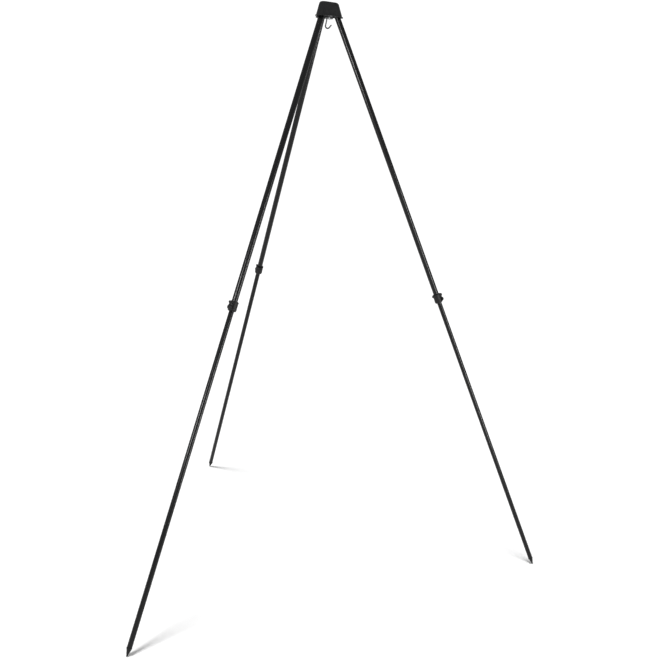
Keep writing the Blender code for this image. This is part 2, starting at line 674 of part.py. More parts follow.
def build_hook(head):
    swivel = empty("hook_frame", Matrix.Identity(4))
    swivel.parent = head
    swivel.rotation_euler.z = math.radians(HOOK_AZIMUTH)
    bore = WIRE_RADIUS + GAP
    washer_top = CORE_BOTTOM - GAP
    nut_bottom = washer_top - WASHER_THICK - GAP - HOOK_NUT[1]
    place("hook", hook(), swivel, STEEL)
    place("hook_washer", washer(WASHER_RADIUS, bore, washer_top, WASHER_THICK), swivel, STEEL)
    lower = moved(finished(nut(HOOK_NUT, bore)), Matrix.Translation((0, 0, nut_bottom)))
    place("hook_nut", lower, swivel, STEEL)
    lock = moved(finished(nut(LOCK_NUT, bore)), Matrix.Translation((0, 0, CORE_TOP + GAP)))
    place("hook_locknut", lock, swivel, STEEL)


def build_leg(number, azimuth, head, shapes):
    turn = math.radians(azimuth)
    out = Vector((math.cos(turn), math.sin(turn), 0)) * PIVOT_RADIUS
    upright = empty(f"pivot_frame_{number}", Matrix.Identity(4))
    upright.parent = head
    upright.location = out
    upright.rotation_euler.z = turn
    leg = empty(f"leg_frame_{number}", Matrix.Identity(4))
    leg.parent = upright
    leg.rotation_euler.y = -SPREAD
    clamp = empty(f"clamp_frame_{number}", Matrix.Identity(4))
    clamp.parent = leg
    clamp.location.z = -CLAMP_CENTRE
    lever = empty(f"lever_frame_{number}", Matrix.Identity(4))
    lever.parent = clamp
    lever.location = (PIN_OUT, 0, PIN_Z)
    for name, look in (("pivot_bolt", STEEL), ("pivot_nut", STEEL)):
        place(f"{name}_{number}", shapes[name], upright, look)
    for name, look in (("knuckle", PLUG_PLASTIC), ("knuckle_rivet", BLACK_STEEL),
                       ("upper_tube", BLACK_TUBE), ("lower_tube", BLACK_TUBE),
                       ("guide_bush", PLUG_PLASTIC), ("spike_foot", CAP_PLASTIC)):
        place(f"{name}_{number}", shapes[name], leg, look)
    for name, look in (("clamp_collar", CAP_PLASTIC), ("collar_screw", BLACK_STEEL),
                       ("lever_pin", BLACK_STEEL), ("brake_pad", PLUG_PLASTIC)):
        place(f"{name}_{number}", shapes[name], clamp, look)
    place(f"clamp_lever_{number}", shapes["clamp_lever"], lever, CAP_PLASTIC)


def leg_shapes():
    """Each leg piece's mesh, made once and shared by the three legs."""
    seat = EAR_OUTER + GAP
    bolt_mesh = finished(bolt(BOLT_RADIUS, 2 * seat + BOLT_NUT[1], BOLT_HEAD))
    to_left = Matrix.Translation((0, -seat, 0)) @ Matrix.Rotation(math.pi / 2, 4, "X")
    nut_mesh = finished(nut(BOLT_NUT, BOLT_RADIUS + GAP))
    to_right = Matrix.Translation((0, seat, 0)) @ Matrix.Rotation(-math.pi / 2, 4, "X")
    return {"pivot_bolt": moved(bolt_mesh, to_left), "pivot_nut": moved(nut_mesh, to_right),
            "knuckle": knuckle(), "knuckle_rivet": knuckle_rivet(), "upper_tube": upper_tube(),
            "clamp_collar": clamp_collar(), "collar_screw": collar_screw(), "lever_pin": lever_pin(),
            "brake_pad": brake_pad(), "clamp_lever": clamp_lever(), "lower_tube": lower_tube(),
            "guide_bush": guide_bush(), "spike_foot": spike_foot()}


clear_scene()
PART = collection("hanging_tripod")
TOOLS = collection("cutters")
CAP_PLASTIC = material("black_plastic", (0.018, 0.018, 0.019), 0.55, 0.0)
PLUG_PLASTIC = material("grey_plastic", (0.05, 0.05, 0.052), 0.6, 0.0)
BLACK_TUBE = material("black_tube", (0.02, 0.02, 0.021), 0.35, 0.3)
CAST_ALLOY = material("cast_alloy", (0.30, 0.30, 0.31), 0.5, 1.0)
STEEL = material("zinc_steel", (0.55, 0.56, 0.57), 0.3, 1.0)
BLACK_STEEL = material("black_steel", (0.03, 0.03, 0.032), 0.4, 1.0)

head_frame = build_head()
build_hook(head_frame)
leg_pieces = leg_shapes()
for leg_number, leg_azimuth in enumerate(LEG_AZIMUTHS, 1):
    build_leg(leg_number, leg_azimuth, head_frame, leg_pieces)
for leftover in list(TOOLS.objects):
    bpy.data.objects.remove(leftover, do_unlink=True)
bpy.data.collections.remove(TOOLS)
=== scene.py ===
"""The looks of the hanging tripod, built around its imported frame.

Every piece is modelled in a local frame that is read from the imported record: a leg frame has its
origin on the pivot bolt, -Z down the leg, +X away from the tripod's axis and +Y along the bolt.
The head and the hook are modelled about the tripod's axis, with z = 0 at the height of the pivots.
"""
import json
import math

import bmesh
import bpy
from mathutils import Matrix, Vector


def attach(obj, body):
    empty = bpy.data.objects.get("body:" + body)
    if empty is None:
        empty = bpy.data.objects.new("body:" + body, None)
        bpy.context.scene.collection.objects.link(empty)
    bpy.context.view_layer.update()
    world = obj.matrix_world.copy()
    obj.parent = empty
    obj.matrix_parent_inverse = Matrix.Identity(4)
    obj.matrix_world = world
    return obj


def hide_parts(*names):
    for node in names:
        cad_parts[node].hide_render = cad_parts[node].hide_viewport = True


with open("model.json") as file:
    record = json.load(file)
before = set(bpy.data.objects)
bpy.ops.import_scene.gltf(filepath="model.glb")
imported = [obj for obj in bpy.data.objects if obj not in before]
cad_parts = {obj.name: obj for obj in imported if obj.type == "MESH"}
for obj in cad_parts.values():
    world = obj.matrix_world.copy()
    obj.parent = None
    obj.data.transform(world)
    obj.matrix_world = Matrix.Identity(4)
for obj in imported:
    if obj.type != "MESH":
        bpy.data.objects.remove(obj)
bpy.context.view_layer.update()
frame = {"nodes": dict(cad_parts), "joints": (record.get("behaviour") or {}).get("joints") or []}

MM = 0.001
ROUND = 72                  # facets round a tube
SMALL = 32                  # facets round a bolt or a bore
LEGS = (1, 2, 3)

# --- sizes shared with the frame ----------------------------------------------------------------
LEG_AZIMUTHS = (90.0, 210.0, 330.0)
LEG_LENGTH = 2211.0 * MM    # pivot bolt to the centre of the spike's nib
PIVOT_RADIUS = 29.5 * MM
NIB_RADIUS = 2.0 * MM
UPPER_R = 10.0 * MM
LOWER_R = 8.5 * MM
WALL = 1.2 * MM
CLAMP_CENTRE = 1075.5 * MM
COLLAR_HALF = 16.5 * MM
COLLAR_RADIUS = 15.0 * MM
COLLAR_LEDGE = 8.2 * MM
PIN_OUT = 17.0 * MM
PIN_OUT = 17.0 * MM         # the lever's pin: from the leg's axis, and above the collar's middle
PIN_Z = 11.0 * MM
LUG_RADIUS = 3.3 * MM
LUG_INNER = 6.0 * MM        # a lug's two faces, from the lever's middle plane
LUG_OUTER = 8.2 * MM
WING_TOP = -6.6 * MM        # from the pin; the lever widens below it
WING_HALF = 9.5 * MM
COLLAR_SCREW_Z = 11.0 * MM
SCREW_BOSS = (4.2 * MM, 1.6 * MM)       # round the collar's screw: radius, height
LEVER_INSIDE = 15.35 * MM   # the lever's inner face, from the leg's axis
LEVER_HUB = 19.0 * MM       # its outer face at the pin, from the leg's axis
LEVER_WAIST = (17.2 * MM, -9.0 * MM)    # its outer face's waist: from the leg's axis, from the pin
LOBE_CENTRE = (13.3 * MM, -17.0 * MM)   # the thumb lobe's round: from the leg's axis, from the pin
LOBE_RADIUS = 7.6 * MM
LEVER_TIP = -23.6 * MM
CAP_TOP = 33.0 * MM         # heights in the head are from the pivots
CAP_RIM = -16.5 * MM
CAP_WALL = 2.5 * MM
CAP_TOP_CORNER = (19.0 * MM, 18.0 * MM)     # over each leg: centre from the axis, radius
CAP_RIM_CORNER = (33.0 * MM, 21.5 * MM)
CAP_EDGE_ROUND = 7.0 * MM
CAP_ARCH = 2.0 * MM         # how far the rim rises between the legs
ARCH_REACH = 24.0 * MM      # how far up the walls the arch fades out
LIP_OUT = 2.8 * MM
LIP_HEIGHT = 3.0 * MM
FACE_DISH = 1.0 * MM
FLANGE_CORNER = (20.5 * MM, 11.0 * MM)      # between each two legs: centre from the axis, radius
FLANGE_DISH = 4.5 * MM
FLANGE_TOP = -9.0 * MM
FLANGE_BOTTOM = -16.5 * MM
FLANGE_RECESS = 8.5 * MM    # radius of the opening round the hook's nut
BASE_BOTTOM = -19.8 * MM
BASE_TOP = -16.8 * MM
BASE_INSET = 0.6 * MM
CAP_SCREW_CIRCLE = 17.5 * MM
CAP_SCREW_HOLE = 1.8 * MM
PIVOT_HOLE = 2.65 * MM
WIRE_RADIUS = 2.5 * MM


# --- frames ---------------------------------------------------------------------------------------
def joint(name):
    return next(j for j in frame["joints"] if j["name"] == name)


def basis(x, y, z, at):
    made = Matrix.Identity(4)
    for column, axis in enumerate((x, y, z)):
        made.col[column][:3] = axis
    made.translation = at
    return made


def turn_z(degrees):
    return Matrix.Rotation(math.radians(degrees), 4, "Z")


def leg_frame(number):
    fold = joint(f"leg_fold_{number}")
    y = Vector(fold["axis"]).normalized()
    z = Vector(joint(f"leg_slide_{number}")["axis"]).normalized()
    return basis(y.cross(z), y, z, fold["pos_m"])


def lever_frame(number):
    made = leg_frame(number)
    made.translation = joint(f"lever_flip_{number}")["pos_m"]
    return made


def upright_frame(number):
    fold = joint(f"leg_fold_{number}")
    y = Vector(fold["axis"]).normalized()
    z = Vector((0, 0, 1))
    return basis(y.cross(z), y, z, fold["pos_m"])


hook_joint = joint("hook_turn")
PIVOT_HEIGHT = joint("leg_fold_1")["pos_m"][2]
AXIS = Vector((hook_joint["pos_m"][0], hook_joint["pos_m"][1], 0.0))
HEAD = Matrix.Translation(AXIS + Vector((0, 0, PIVOT_HEIGHT)))

# --- camera, floor and light ------------------------------------------------------------------------
CAMERA_TURN = -27.8451      # degrees about the tripod's axis; 0 looks along +Y
CAMERA_DISTANCE = 3.30105   # metres, camera to the tripod's axis
CAMERA_HEIGHT = 1.61576
CAMERA_PAN = -2.3582        # degrees, + turns to the left
CAMERA_TILT = -12.3378
CAMERA_ROLL = 3.8517
CAMERA_LENS = 49.207        # millimetres, like the sensor
SENSOR_WIDTH = 36.0
CAMERA_SHIFT = -1 / 44      # of the image's width

# places and directions of the lights are (right, away, up) as seen from the camera
WORLD_SEEN = 1.1            # strength of the world to the camera, and to everything else
WORLD_FILL = 0.45
SUN_FROM = (-0.52, -0.58, 2.0)
SUN_SPREAD = 0.28           # radians
SUN_STRENGTH = 2.65
# name, place, target, width, height, watts
SOFT_BOXES = (("right_strip", (2.4, -1.9, 1.1), (0.0, 0.0, 1.1), 0.4, 2.0, 75.0),
              ("left_box", (-1.7, -2.4, 1.9), (0.0, 0.0, 1.9), 0.5, 0.7, 52.0))
FLOOR_SIZE = 30.0
FLOOR_COLOUR = (0.93, 0.93, 0.93, 1)
FLOOR_ROUGHNESS = 0.9
FLOOR_SPECULAR = 0.1


def add_object(name, data):
    made = bpy.data.objects.new(name, data)
    bpy.context.scene.collection.objects.link(made)
    return made


def make_camera():
    data = bpy.data.cameras.new("camera")
    data.lens = CAMERA_LENS
    data.sensor_width = SENSOR_WIDTH
    data.shift_x = CAMERA_SHIFT
    camera = add_object("camera", data)
    place = Matrix.Translation((0, -CAMERA_DISTANCE, CAMERA_HEIGHT)) @ turn_z(CAMERA_PAN)
    place = place @ Matrix.Rotation(math.radians(90 + CAMERA_TILT), 4, "X") @ turn_z(CAMERA_ROLL)
    camera.matrix_world = Matrix.Translation(AXIS) @ turn_z(CAMERA_TURN) @ place
    bpy.context.scene.camera = camera


def make_sun():
    """Broad soft light from above. It adds no glints."""
    data = bpy.data.lights.new("overhead", "SUN")
    data.angle = SUN_SPREAD
    data.energy = SUN_STRENGTH
    light = add_object("overhead", data)
    light.rotation_mode = "QUATERNION"
    light.rotation_quaternion = (turn_z(CAMERA_TURN) @ Vector(SUN_FROM)).to_track_quat("Z", "Y")
    light.visible_glossy = False


def make_soft_box(name, spot, target, wide, tall, watts):
    """A soft box that only glints on the object."""
    data = bpy.data.lights.new(name, "AREA")
    data.shape = "RECTANGLE"
    data.size = wide
    data.size_y = tall
    data.energy = watts
    light = add_object(name, data)
    view = Matrix.Translation(AXIS) @ turn_z(CAMERA_TURN)
    light.location = view @ Vector(spot)
    aim = view @ Vector(target) - light.location
    light.rotation_mode = "QUATERNION"
    light.rotation_quaternion = aim.to_track_quat("-Z", "Y")
    light.visible_diffuse = False
    light.visible_camera = False


def make_world():
    """White all round: brighter to the camera than to the object."""
    world = bpy.data.worlds.new("studio")
    bpy.context.scene.world = world
    world.use_nodes = True
    nodes = world.node_tree.nodes
    links = world.node_tree.links
    nodes.clear()
    output = nodes.new("ShaderNodeOutputWorld")
    path = nodes.new("ShaderNodeLightPath")
    mix = nodes.new("ShaderNodeMixShader")
    links.new(path.outputs["Is Camera Ray"], mix.inputs[0])
    for slot, strength in ((1, WORLD_FILL), (2, WORLD_SEEN)):
        background = nodes.new("ShaderNodeBackground")
        background.inputs["Color"].default_value = (1, 1, 1, 1)
        background.inputs["Strength"].default_value = strength
        links.new(background.outputs[0], mix.inputs[slot])
    links.new(mix.outputs[0], output.inputs[0])


def make_studio():
    make_world()
    make_sun()
    for box in SOFT_BOXES:
        make_soft_box(*box)
    bpy.context.scene.view_settings.view_transform = "Standard"


def make_floor():
    bm = bmesh.new()
    bmesh.ops.create_grid(bm, x_segments=2, y_segments=2, size=FLOOR_SIZE)
    mesh = bpy.data.meshes.new("floor")
    bm.to_mesh(mesh)
    bm.free()
    floor = add_object("floor", mesh)
    look = bpy.data.materials.new("pale_floor")
    look.use_nodes = True
    shader = look.node_tree.nodes["Principled BSDF"]
    shader.inputs["Base Color"].default_value = FLOOR_COLOUR
    shader.inputs["Roughness"].default_value = FLOOR_ROUGHNESS
    shader.inputs["Specular IOR Level"].default_value = FLOOR_SPECULAR
    mesh.materials.append(look)


make_camera()
make_studio()
make_floor()


# --- materials ------------------------------------------------------------------------------------
class Look:
    """One procedural material being wired up."""

    def __init__(self, name, colour, roughness, metallic=0.0, specular=0.5):
        self.material = bpy.data.materials.new(name)
        self.material.use_nodes = True
        self.material.diffuse_color = (*colour, 1.0)
        self.tree = self.material.node_tree
        self.shader = self.tree.nodes["Principled BSDF"]
        self.shader.inputs["Base Color"].default_value = (*colour, 1.0)
        self.shader.inputs["Roughness"].default_value = roughness
        self.shader.inputs["Metallic"].default_value = metallic
        self.shader.inputs["Specular IOR Level"].default_value = specular
        self.place = self.tree.nodes.new("ShaderNodeTexCoord")
        self.colour = colour
        self.height = None

    def link(self, source, target):
        self.tree.links.new(source, target)

    def noise(self, scale, detail=2.0, stretch=(1, 1, 1), rough=0.5):
        """Noise in object space; scale is features per metre."""
        mapping = self.tree.nodes.new("ShaderNodeMapping")
        mapping.inputs["Scale"].default_value = stretch
        self.link(self.place.outputs["Object"], mapping.inputs["Vector"])
        texture = self.tree.nodes.new("ShaderNodeTexNoise")
        texture.inputs["Scale"].default_value = scale
        texture.inputs["Detail"].default_value = detail
        texture.inputs["Roughness"].default_value = rough
        self.link(mapping.outputs["Vector"], texture.inputs["Vector"])
        return texture.outputs["Fac"]

    def ramp(self, source, low, high, to_low=0.0, to_high=1.0):
        made = self.tree.nodes.new("ShaderNodeMapRange")
        made.clamp = True
        limits = {"From Min": low, "From Max": high, "To Min": to_low, "To Max": to_high}
        for socket, value in limits.items():
            made.inputs[socket].default_value = value
        self.link(source, made.inputs["Value"])
        return made.outputs["Result"]

    def math(self, operation, a, b):
        made = self.tree.nodes.new("ShaderNodeMath")
        made.operation = operation
        for socket, value in zip(made.inputs, (a, b)):
            if isinstance(value, (int, float)):
                socket.default_value = value
            else:
                self.link(value, socket)
        return made.outputs[0]

    def vary_colour(self, factor, other):
        mix = self.tree.nodes.new("ShaderNodeMix")
        mix.data_type = "RGBA"
        socket = self.shader.inputs["Base Color"]
        if socket.links:
            self.link(socket.links[0].from_socket, mix.inputs["A"])
        else:
            mix.inputs["A"].default_value = (*self.colour, 1.0)
        mix.inputs["B"].default_value = (*other, 1.0)
        self.link(factor, mix.inputs["Factor"])
        self.link(mix.outputs["Result"], socket)

    def vary_roughness(self, source):
        self.link(source, self.shader.inputs["Roughness"])

    def bump(self, source, depth):
        """Depth in metres between the lowest and the highest point."""
        made = self.tree.nodes.new("ShaderNodeBump")
        made.inputs["Strength"].default_value = 1.0
        made.inputs["Distance"].default_value = depth
        self.link(source, made.inputs["Height"])
        if self.height is not None:
            self.link(self.height, made.inputs["Normal"])
        self.height = made.outputs["Normal"]
        self.link(self.height, self.shader.inputs["Normal"])


def tube_look():
    """Satin black coat on drawn tube: lengthwise draw lines, orange peel, faint handling scuffs."""
    look = Look("satin_black_coat", (0.006, 0.006, 0.0065), 0.25, specular=0.22)
    lines = look.noise(900, 3, (1, 1, 0.012), 0.6)
    peel = look.noise(650, 2)
    clouds = look.noise(14, 3, (1, 1, 0.35))
    scuffs = look.ramp(look.noise(260, 4, (1, 1, 0.08), 0.65), 0.62, 0.74)
    clouded = look.ramp(clouds, 0.3, 0.7, 0.2, 0.27)
    drawn = look.ramp(lines, 0.3, 0.7, -0.025, 0.025)
    rough = look.math("ADD", clouded, drawn)
    look.vary_roughness(look.math("ADD", rough, look.math("MULTIPLY", scuffs, 0.08)))
    look.vary_colour(look.math("MULTIPLY", scuffs, 0.35), (0.018, 0.018, 0.019))
    look.vary_colour(look.ramp(clouds, 0.35, 0.75, 0.0, 0.25), (0.011, 0.011, 0.0105))
    look.bump(lines, 0.00001)
    look.bump(peel, 0.000015)
    return look.material


def plastic_look(name, colour, lighter, roughness):
    """Moulded nylon: a fine spark-eroded grain, slow colour drift and rubbed spots."""
    look = Look(name, colour, roughness, specular=0.2)
    grain = look.noise(2600, 2, rough=0.6)
    coarse = look.noise(900, 3)
    drift = look.noise(60, 3)
    rubbed = look.ramp(look.noise(180, 4, rough=0.7), 0.58, 0.75)
    look.vary_colour(look.ramp(drift, 0.3, 0.75, 0.0, 0.4), lighter)
    look.vary_colour(look.math("MULTIPLY", rubbed, 0.3), lighter)
    rough = look.ramp(drift, 0.3, 0.7, roughness - 0.05, roughness + 0.05)
    look.vary_roughness(look.math("SUBTRACT", rough, look.math("MULTIPLY", rubbed, 0.08)))
    look.bump(coarse, 0.00003)
    look.bump(grain, 0.00003)
    return look.material


def zinc_look(name, colour, clouded, roughness):
    """Zinc-plated steel: slightly clouded, with fine draw marks."""
    look = Look(name, colour, roughness, metallic=1.0)
    cloud = look.noise(240, 3)
    marks = look.noise(1800, 3, (1, 1, 0.2), 0.6)
    look.vary_colour(look.ramp(cloud, 0.35, 0.7, 0.0, 0.6), clouded)
    look.vary_roughness(look.ramp(cloud, 0.3, 0.7, roughness - 0.06, roughness + 0.08))
    look.bump(marks, 0.000012)
    return look.material


def cast_look():
    """Die-cast alloy: dull, pebbled skin with darker pits."""
    look = Look("cast_alloy", (0.16, 0.16, 0.165), 0.52, metallic=1.0)
    skin = look.noise(1400, 4, rough=0.6)
    cloud = look.noise(120, 3)
    look.vary_colour(look.ramp(cloud, 0.35, 0.7, 0.0, 0.7), (0.11, 0.11, 0.113))
    look.vary_roughness(look.ramp(cloud, 0.3, 0.7, 0.45, 0.6))
    look.bump(skin, 0.00005)
    return look.material


def oxide_look():
    """Black-oxide steel: near black, an uneven satin film that has rubbed thin in places."""
    look = Look("black_oxide", (0.02, 0.02, 0.022), 0.5, metallic=1.0)
    film = look.noise(420, 3)
    look.vary_colour(look.ramp(film, 0.45, 0.75, 0.0, 0.6), (0.045, 0.043, 0.042))
    look.vary_roughness(look.ramp(film, 0.3, 0.7, 0.44, 0.6))
    look.bump(look.noise(1600, 2), 0.00001)
    return look.material


COAT = tube_look()
BLACK = plastic_look("black_nylon", (0.009, 0.009, 0.0095), (0.016, 0.016, 0.016), 0.5)
GREY = plastic_look("grey_acetal", (0.035, 0.035, 0.037), (0.05, 0.05, 0.052), 0.45)
ZINC = zinc_look("zinc_plate", (0.42, 0.43, 0.44), (0.33, 0.33, 0.32), 0.3)
# the hook wire's zinc: a copy of the zinc plate with its colour darkened, painted shade standing in for the
# dark reflections along the wire
ZINC_PAINTED_DARK = zinc_look("zinc_wire_painted_shade", (0.13, 0.13, 0.135), (0.08, 0.08, 0.08), 0.42)
OXIDE = oxide_look()
CAST = cast_look()


# --- shape helpers ----------------------------------------------------------------------------------
WELD = 0.000002             # metres; nearer points become one
ON_AXIS = 1e-7              # a ring smaller than this is a single point
FILLET_SHARE = 0.49         # the most of a side that one fillet takes
BEVEL_ANGLE = 40            # degrees; sharper edges are rounded
BEVEL_STEPS = 2
SMOOTH_ANGLE = 38           # degrees; sharper edges stay crisp


def mesh_from(bm, name):
    bmesh.ops.remove_doubles(bm, verts=bm.verts, dist=WELD)
    bmesh.ops.recalc_face_normals(bm, faces=bm.faces)
    mesh = bpy.data.meshes.new(name)
    bm.to_mesh(mesh)
    bm.free()
    return mesh


def filleted(corners, closed=False, steps=5):
    """An outline whose corners (x, y, fillet radius) are rounded; open ends stay where they are."""
    points = []
    count = len(corners)
    for i, (x, y, radius) in enumerate(corners):
        here = Vector((x, y))
        end = not closed and i in (0, count - 1)
        if end or radius <= 0:
            points.append(here)
            continue
        before = Vector(corners[i - 1][:2]) - here
        after = Vector(corners[(i + 1) % count][:2]) - here
        half = before.angle(after) / 2
        reach = min(radius / math.tan(half), before.length * FILLET_SHARE, after.length * FILLET_SHARE)
        radius = reach * math.tan(half)
        inward = (before.normalized() + after.normalized()).normalized()
        middle = here + inward * radius / math.sin(half)
        start = here + before.normalized() * reach - middle
        stop = here + after.normalized() * reach - middle
        first = math.atan2(start.y, start.x)
        turn = (math.atan2(stop.y, stop.x) - first + math.pi) % math.tau - math.pi
        for step in range(steps + 1):
            a = first + turn * step / steps
            points.append(middle + Vector((math.cos(a), math.sin(a))) * radius)
    return points


def lathe(profile, sides=ROUND, closed=False):
    """Spin (radius, z) points about Z."""
    bm = bmesh.new()
    rings = []
    for r, z in profile:
        if r < ON_AXIS:
            rings.append([bm.verts.new((0, 0, z))])
            continue
        angles = [math.tau * i / sides for i in range(sides)]
        rings.append([bm.verts.new((r * math.cos(a), r * math.sin(a), z)) for a in angles])
    pairs = list(zip(rings, rings[1:]))
    if closed:
        pairs.append((rings[-1], rings[0]))
    for ring, following in pairs:
        bridge(bm, ring, following)
    return mesh_from(bm, "turned")


def bridge(bm, ring, following):
    """Faces between two rings of the same count, or between a ring and a single point."""
    if len(ring) == 1 and len(following) == 1:
        return
    count = max(len(ring), len(following))
    for i in range(count):
        j = (i + 1) % count
        if len(ring) == 1:
            bm.faces.new((ring[0], following[j], following[i]))
        elif len(following) == 1:
            bm.faces.new((ring[i], ring[j], following[0]))
        else:
            bm.faces.new((ring[i], ring[j], following[j], following[i]))


def loft(levels, cap_start=True, cap_end=True):
    """Join rings of 3-D points of equal count, one after the other."""
    bm = bmesh.new()
    rings = [[bm.verts.new(point) for point in level] for level in levels]
    for ring, following in zip(rings, rings[1:]):
        bridge(bm, ring, following)
    if cap_start:
        bm.faces.new(rings[0][::-1])
    if cap_end:
        bm.faces.new(rings[-1])
    return mesh_from(bm, "loft")


def sweep(route, radius, sides):
    """A round wire along a flat (x, z) route, with a domed far end."""
    levels = []
    last = len(route) - 1
    for i, point in enumerate(route):
        along = (Vector(route[min(i + 1, last)]) - Vector(route[max(i - 1, 0)])).normalized()
        across = Vector((-along.y, 0, along.x))
        centre = Vector((point[0], 0, point[1]))
        level = []
        for k in range(sides):
            a = math.tau * k / sides
            level.append(centre + (across * math.cos(a) + Vector((0, 1, 0)) * math.sin(a)) * radius)
        levels.append(level)
    ahead = Vector((along.x, 0, along.y))
    end = levels[-1]
    for turn in (22.5, 45, 65, 80):
        a = math.radians(turn)
        levels.append([centre + ahead * radius * math.sin(a) + (v - centre) * math.cos(a) for v in end])
    return loft(levels)


def joined(*meshes):
    """Several meshes as one, each keeping its own closed surface."""
    bm = bmesh.new()
    for mesh in meshes:
        bm.from_mesh(mesh)
    made = bpy.data.meshes.new("joined")
    bm.to_mesh(made)
    bm.free()
    return made


def shifted(mesh, matrix):
    mesh.transform(matrix)
    return mesh


def bar(radius, length, middle, direction="Z", sides=SMALL):
    """A plain round bar centred on middle."""
    turn = {"X": Matrix.Rotation(math.pi / 2, 4, "Y"), "Y": Matrix.Rotation(-math.pi / 2, 4, "X"),
            "Z": Matrix.Identity(4)}[direction]
    bm = bmesh.new()
    bmesh.ops.create_cone(bm, cap_ends=True, segments=sides, radius1=radius, radius2=radius,
                          depth=length, matrix=Matrix.Translation(middle) @ turn)
    return mesh_from(bm, "bar")


def rod(radius, high, low, edge=0.0, sides=SMALL):
    """A turned rod along Z between two heights, its end edges rounded."""
    return lathe(filleted([(0, high, 0), (radius, high, edge), (radius, low, edge), (0, low, 0)]), sides)


def block(low, high):
    size = Vector(high) - Vector(low)
    middle = (Vector(high) + Vector(low)) / 2
    bm = bmesh.new()
    bmesh.ops.create_cube(bm, matrix=Matrix.Translation(middle) @ Matrix.Diagonal((*size, 1)))
    return mesh_from(bm, "block")


def plate(outline, width, y=0.0):
    """A flat (x, z) outline made solid along Y, width thick about y."""
    levels = [[Vector((x, y + side * width / 2, z)) for x, z in outline] for side in (-1, 1)]
    return loft(levels)


def carved(base, adds=(), cuts=(), soften=0.0):
    """Union and cut solids, then round the sharp edges; the result is a plain mesh."""
    made = add_object("carved", base)
    tools = []
    for operation, meshes in (("UNION", adds), ("DIFFERENCE", cuts)):
        for mesh in meshes:
            tool = add_object("tool", mesh)
            step = made.modifiers.new(operation, "BOOLEAN")
            step.operation = operation
            step.solver = "EXACT"
            step.object = tool
            tools.append(tool)
    if soften:
        edge = made.modifiers.new("soften", "BEVEL")
        edge.width = soften
        edge.segments = BEVEL_STEPS
        edge.limit_method = "ANGLE"
        edge.angle_limit = math.radians(BEVEL_ANGLE)
        edge.miter_outer = "MITER_ARC"
    bpy.context.view_layer.update()
    mesh = bpy.data.meshes.new_from_object(made.evaluated_get(bpy.context.evaluated_depsgraph_get()))
    for used in (made, *tools):
        bpy.data.objects.remove(used, do_unlink=True)
    return mesh


def arc(centre, radius, start, stop, steps):
    angles = [math.radians(start + (stop - start) * i / steps) for i in range(steps + 1)]
    return [(centre[0] + radius * math.cos(a), centre[1] + radius * math.sin(a)) for a in angles]


def piece(name, mesh, place, body, look, *nodes, angle=SMOOTH_ANGLE):
    """One shown piece: its mesh in a local frame, riding on a body in place of CAD nodes."""
    mesh = mesh.copy() if mesh.users else mesh
    mesh.shade_smooth()
    mesh.set_sharp_from_angle(angle=math.radians(angle))
    mesh.materials.clear()
    mesh.materials.append(look)
    made = add_object(name, mesh)
    made.matrix_world = place
    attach(made, body)
    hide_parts(*nodes)
    return made


# --- fasteners --------------------------------------------------------------------------------------
HEX_FACETS = 96
HEX_FACE = 0.97             # the flat face's radius, as a share of the apothem
HEX_SLOPE = math.tan(math.radians(28))  # of the chamfer round that face
BORE_EASE = 0.4 * MM        # the countersink of a nut's bore
THREAD_ROWS = 8             # levels in each turn of a thread


def hexagon(apothem, height, bore=0.0):
    """A chamfered hexagon head or nut standing on z = 0."""
    angles = [math.tau * i / HEX_FACETS for i in range(HEX_FACETS)]
    face = HEX_FACE * apothem
    inner = bore + BORE_EASE if bore else 0.3 * face

    def ring(radius, z):
        return [Vector((radius * math.cos(a), radius * math.sin(a), z)) for a in angles]

    def edge_point(a, z, inward):
        sector = (math.degrees(a) + 30) % 60 - 30
        out = apothem / math.cos(math.radians(sector))
        return Vector((out * math.cos(a), out * math.sin(a), z + inward * (out - face) * HEX_SLOPE))

    levels = []
    for z, inward in ((0.0, 1), (height, -1)):
        group = [ring(inner, z), ring(face, z), [edge_point(a, z, inward) for a in angles]]
        if bore:
            group.insert(0, ring(bore, z + inward * BORE_EASE))
        levels += group if inward > 0 else group[::-1]
    if bore:
        levels.append(levels[0])
    return loft(levels, not bore, not bore)


def thread(radius, pitch, low, high, sides):
    """A threaded rod between two heights; the thread runs out at both ends."""
    depth = 0.5 * pitch
    rows = max(THREAD_ROWS, round((high - low) / pitch * THREAD_ROWS))
    levels = []
    for row in range(rows + 1):
        z = low + (high - low) * row / rows
        taper = min(1.0, (z - low) / pitch, (high - z) / pitch)
        ring = []
        for k in range(sides):
            phase = (z / pitch - k / sides) % 1.0
            crest = 1 - abs(2 * phase - 1)
            r = radius - depth + depth * crest * max(taper, 0.0)
            angle = math.tau * k / sides
            ring.append(Vector((r * math.cos(angle), r * math.sin(angle), z)))
        levels.append(ring)
    return loft(levels)


def pan_head(radius, height):
    """A rounded screw head on z = 0 with a cross recess."""
    crown = [(0, height), (0.35 * radius, 0.985 * height), (0.7 * radius, 0.86 * height),
             (0.92 * radius, 0.55 * height), (radius, 0.2 * height), (radius, 0), (0, 0)]
    head = lathe(crown, 48)
    half = 0.13 * radius
    arm = 0.55 * radius
    floor = 0.45 * height
    cuts = [block((-arm, -half, floor), (arm, half, 2 * height)),
            block((-half, -arm, floor), (half, arm, 2 * height))]
    return carved(head, cuts=cuts)


# --- the head ---------------------------------------------------------------------------------------
LEG_STEP = 120.0            # degrees from leg to leg
CORNER_STEPS = 20           # points round each corner, and along each side
SIDE_STEPS = 14
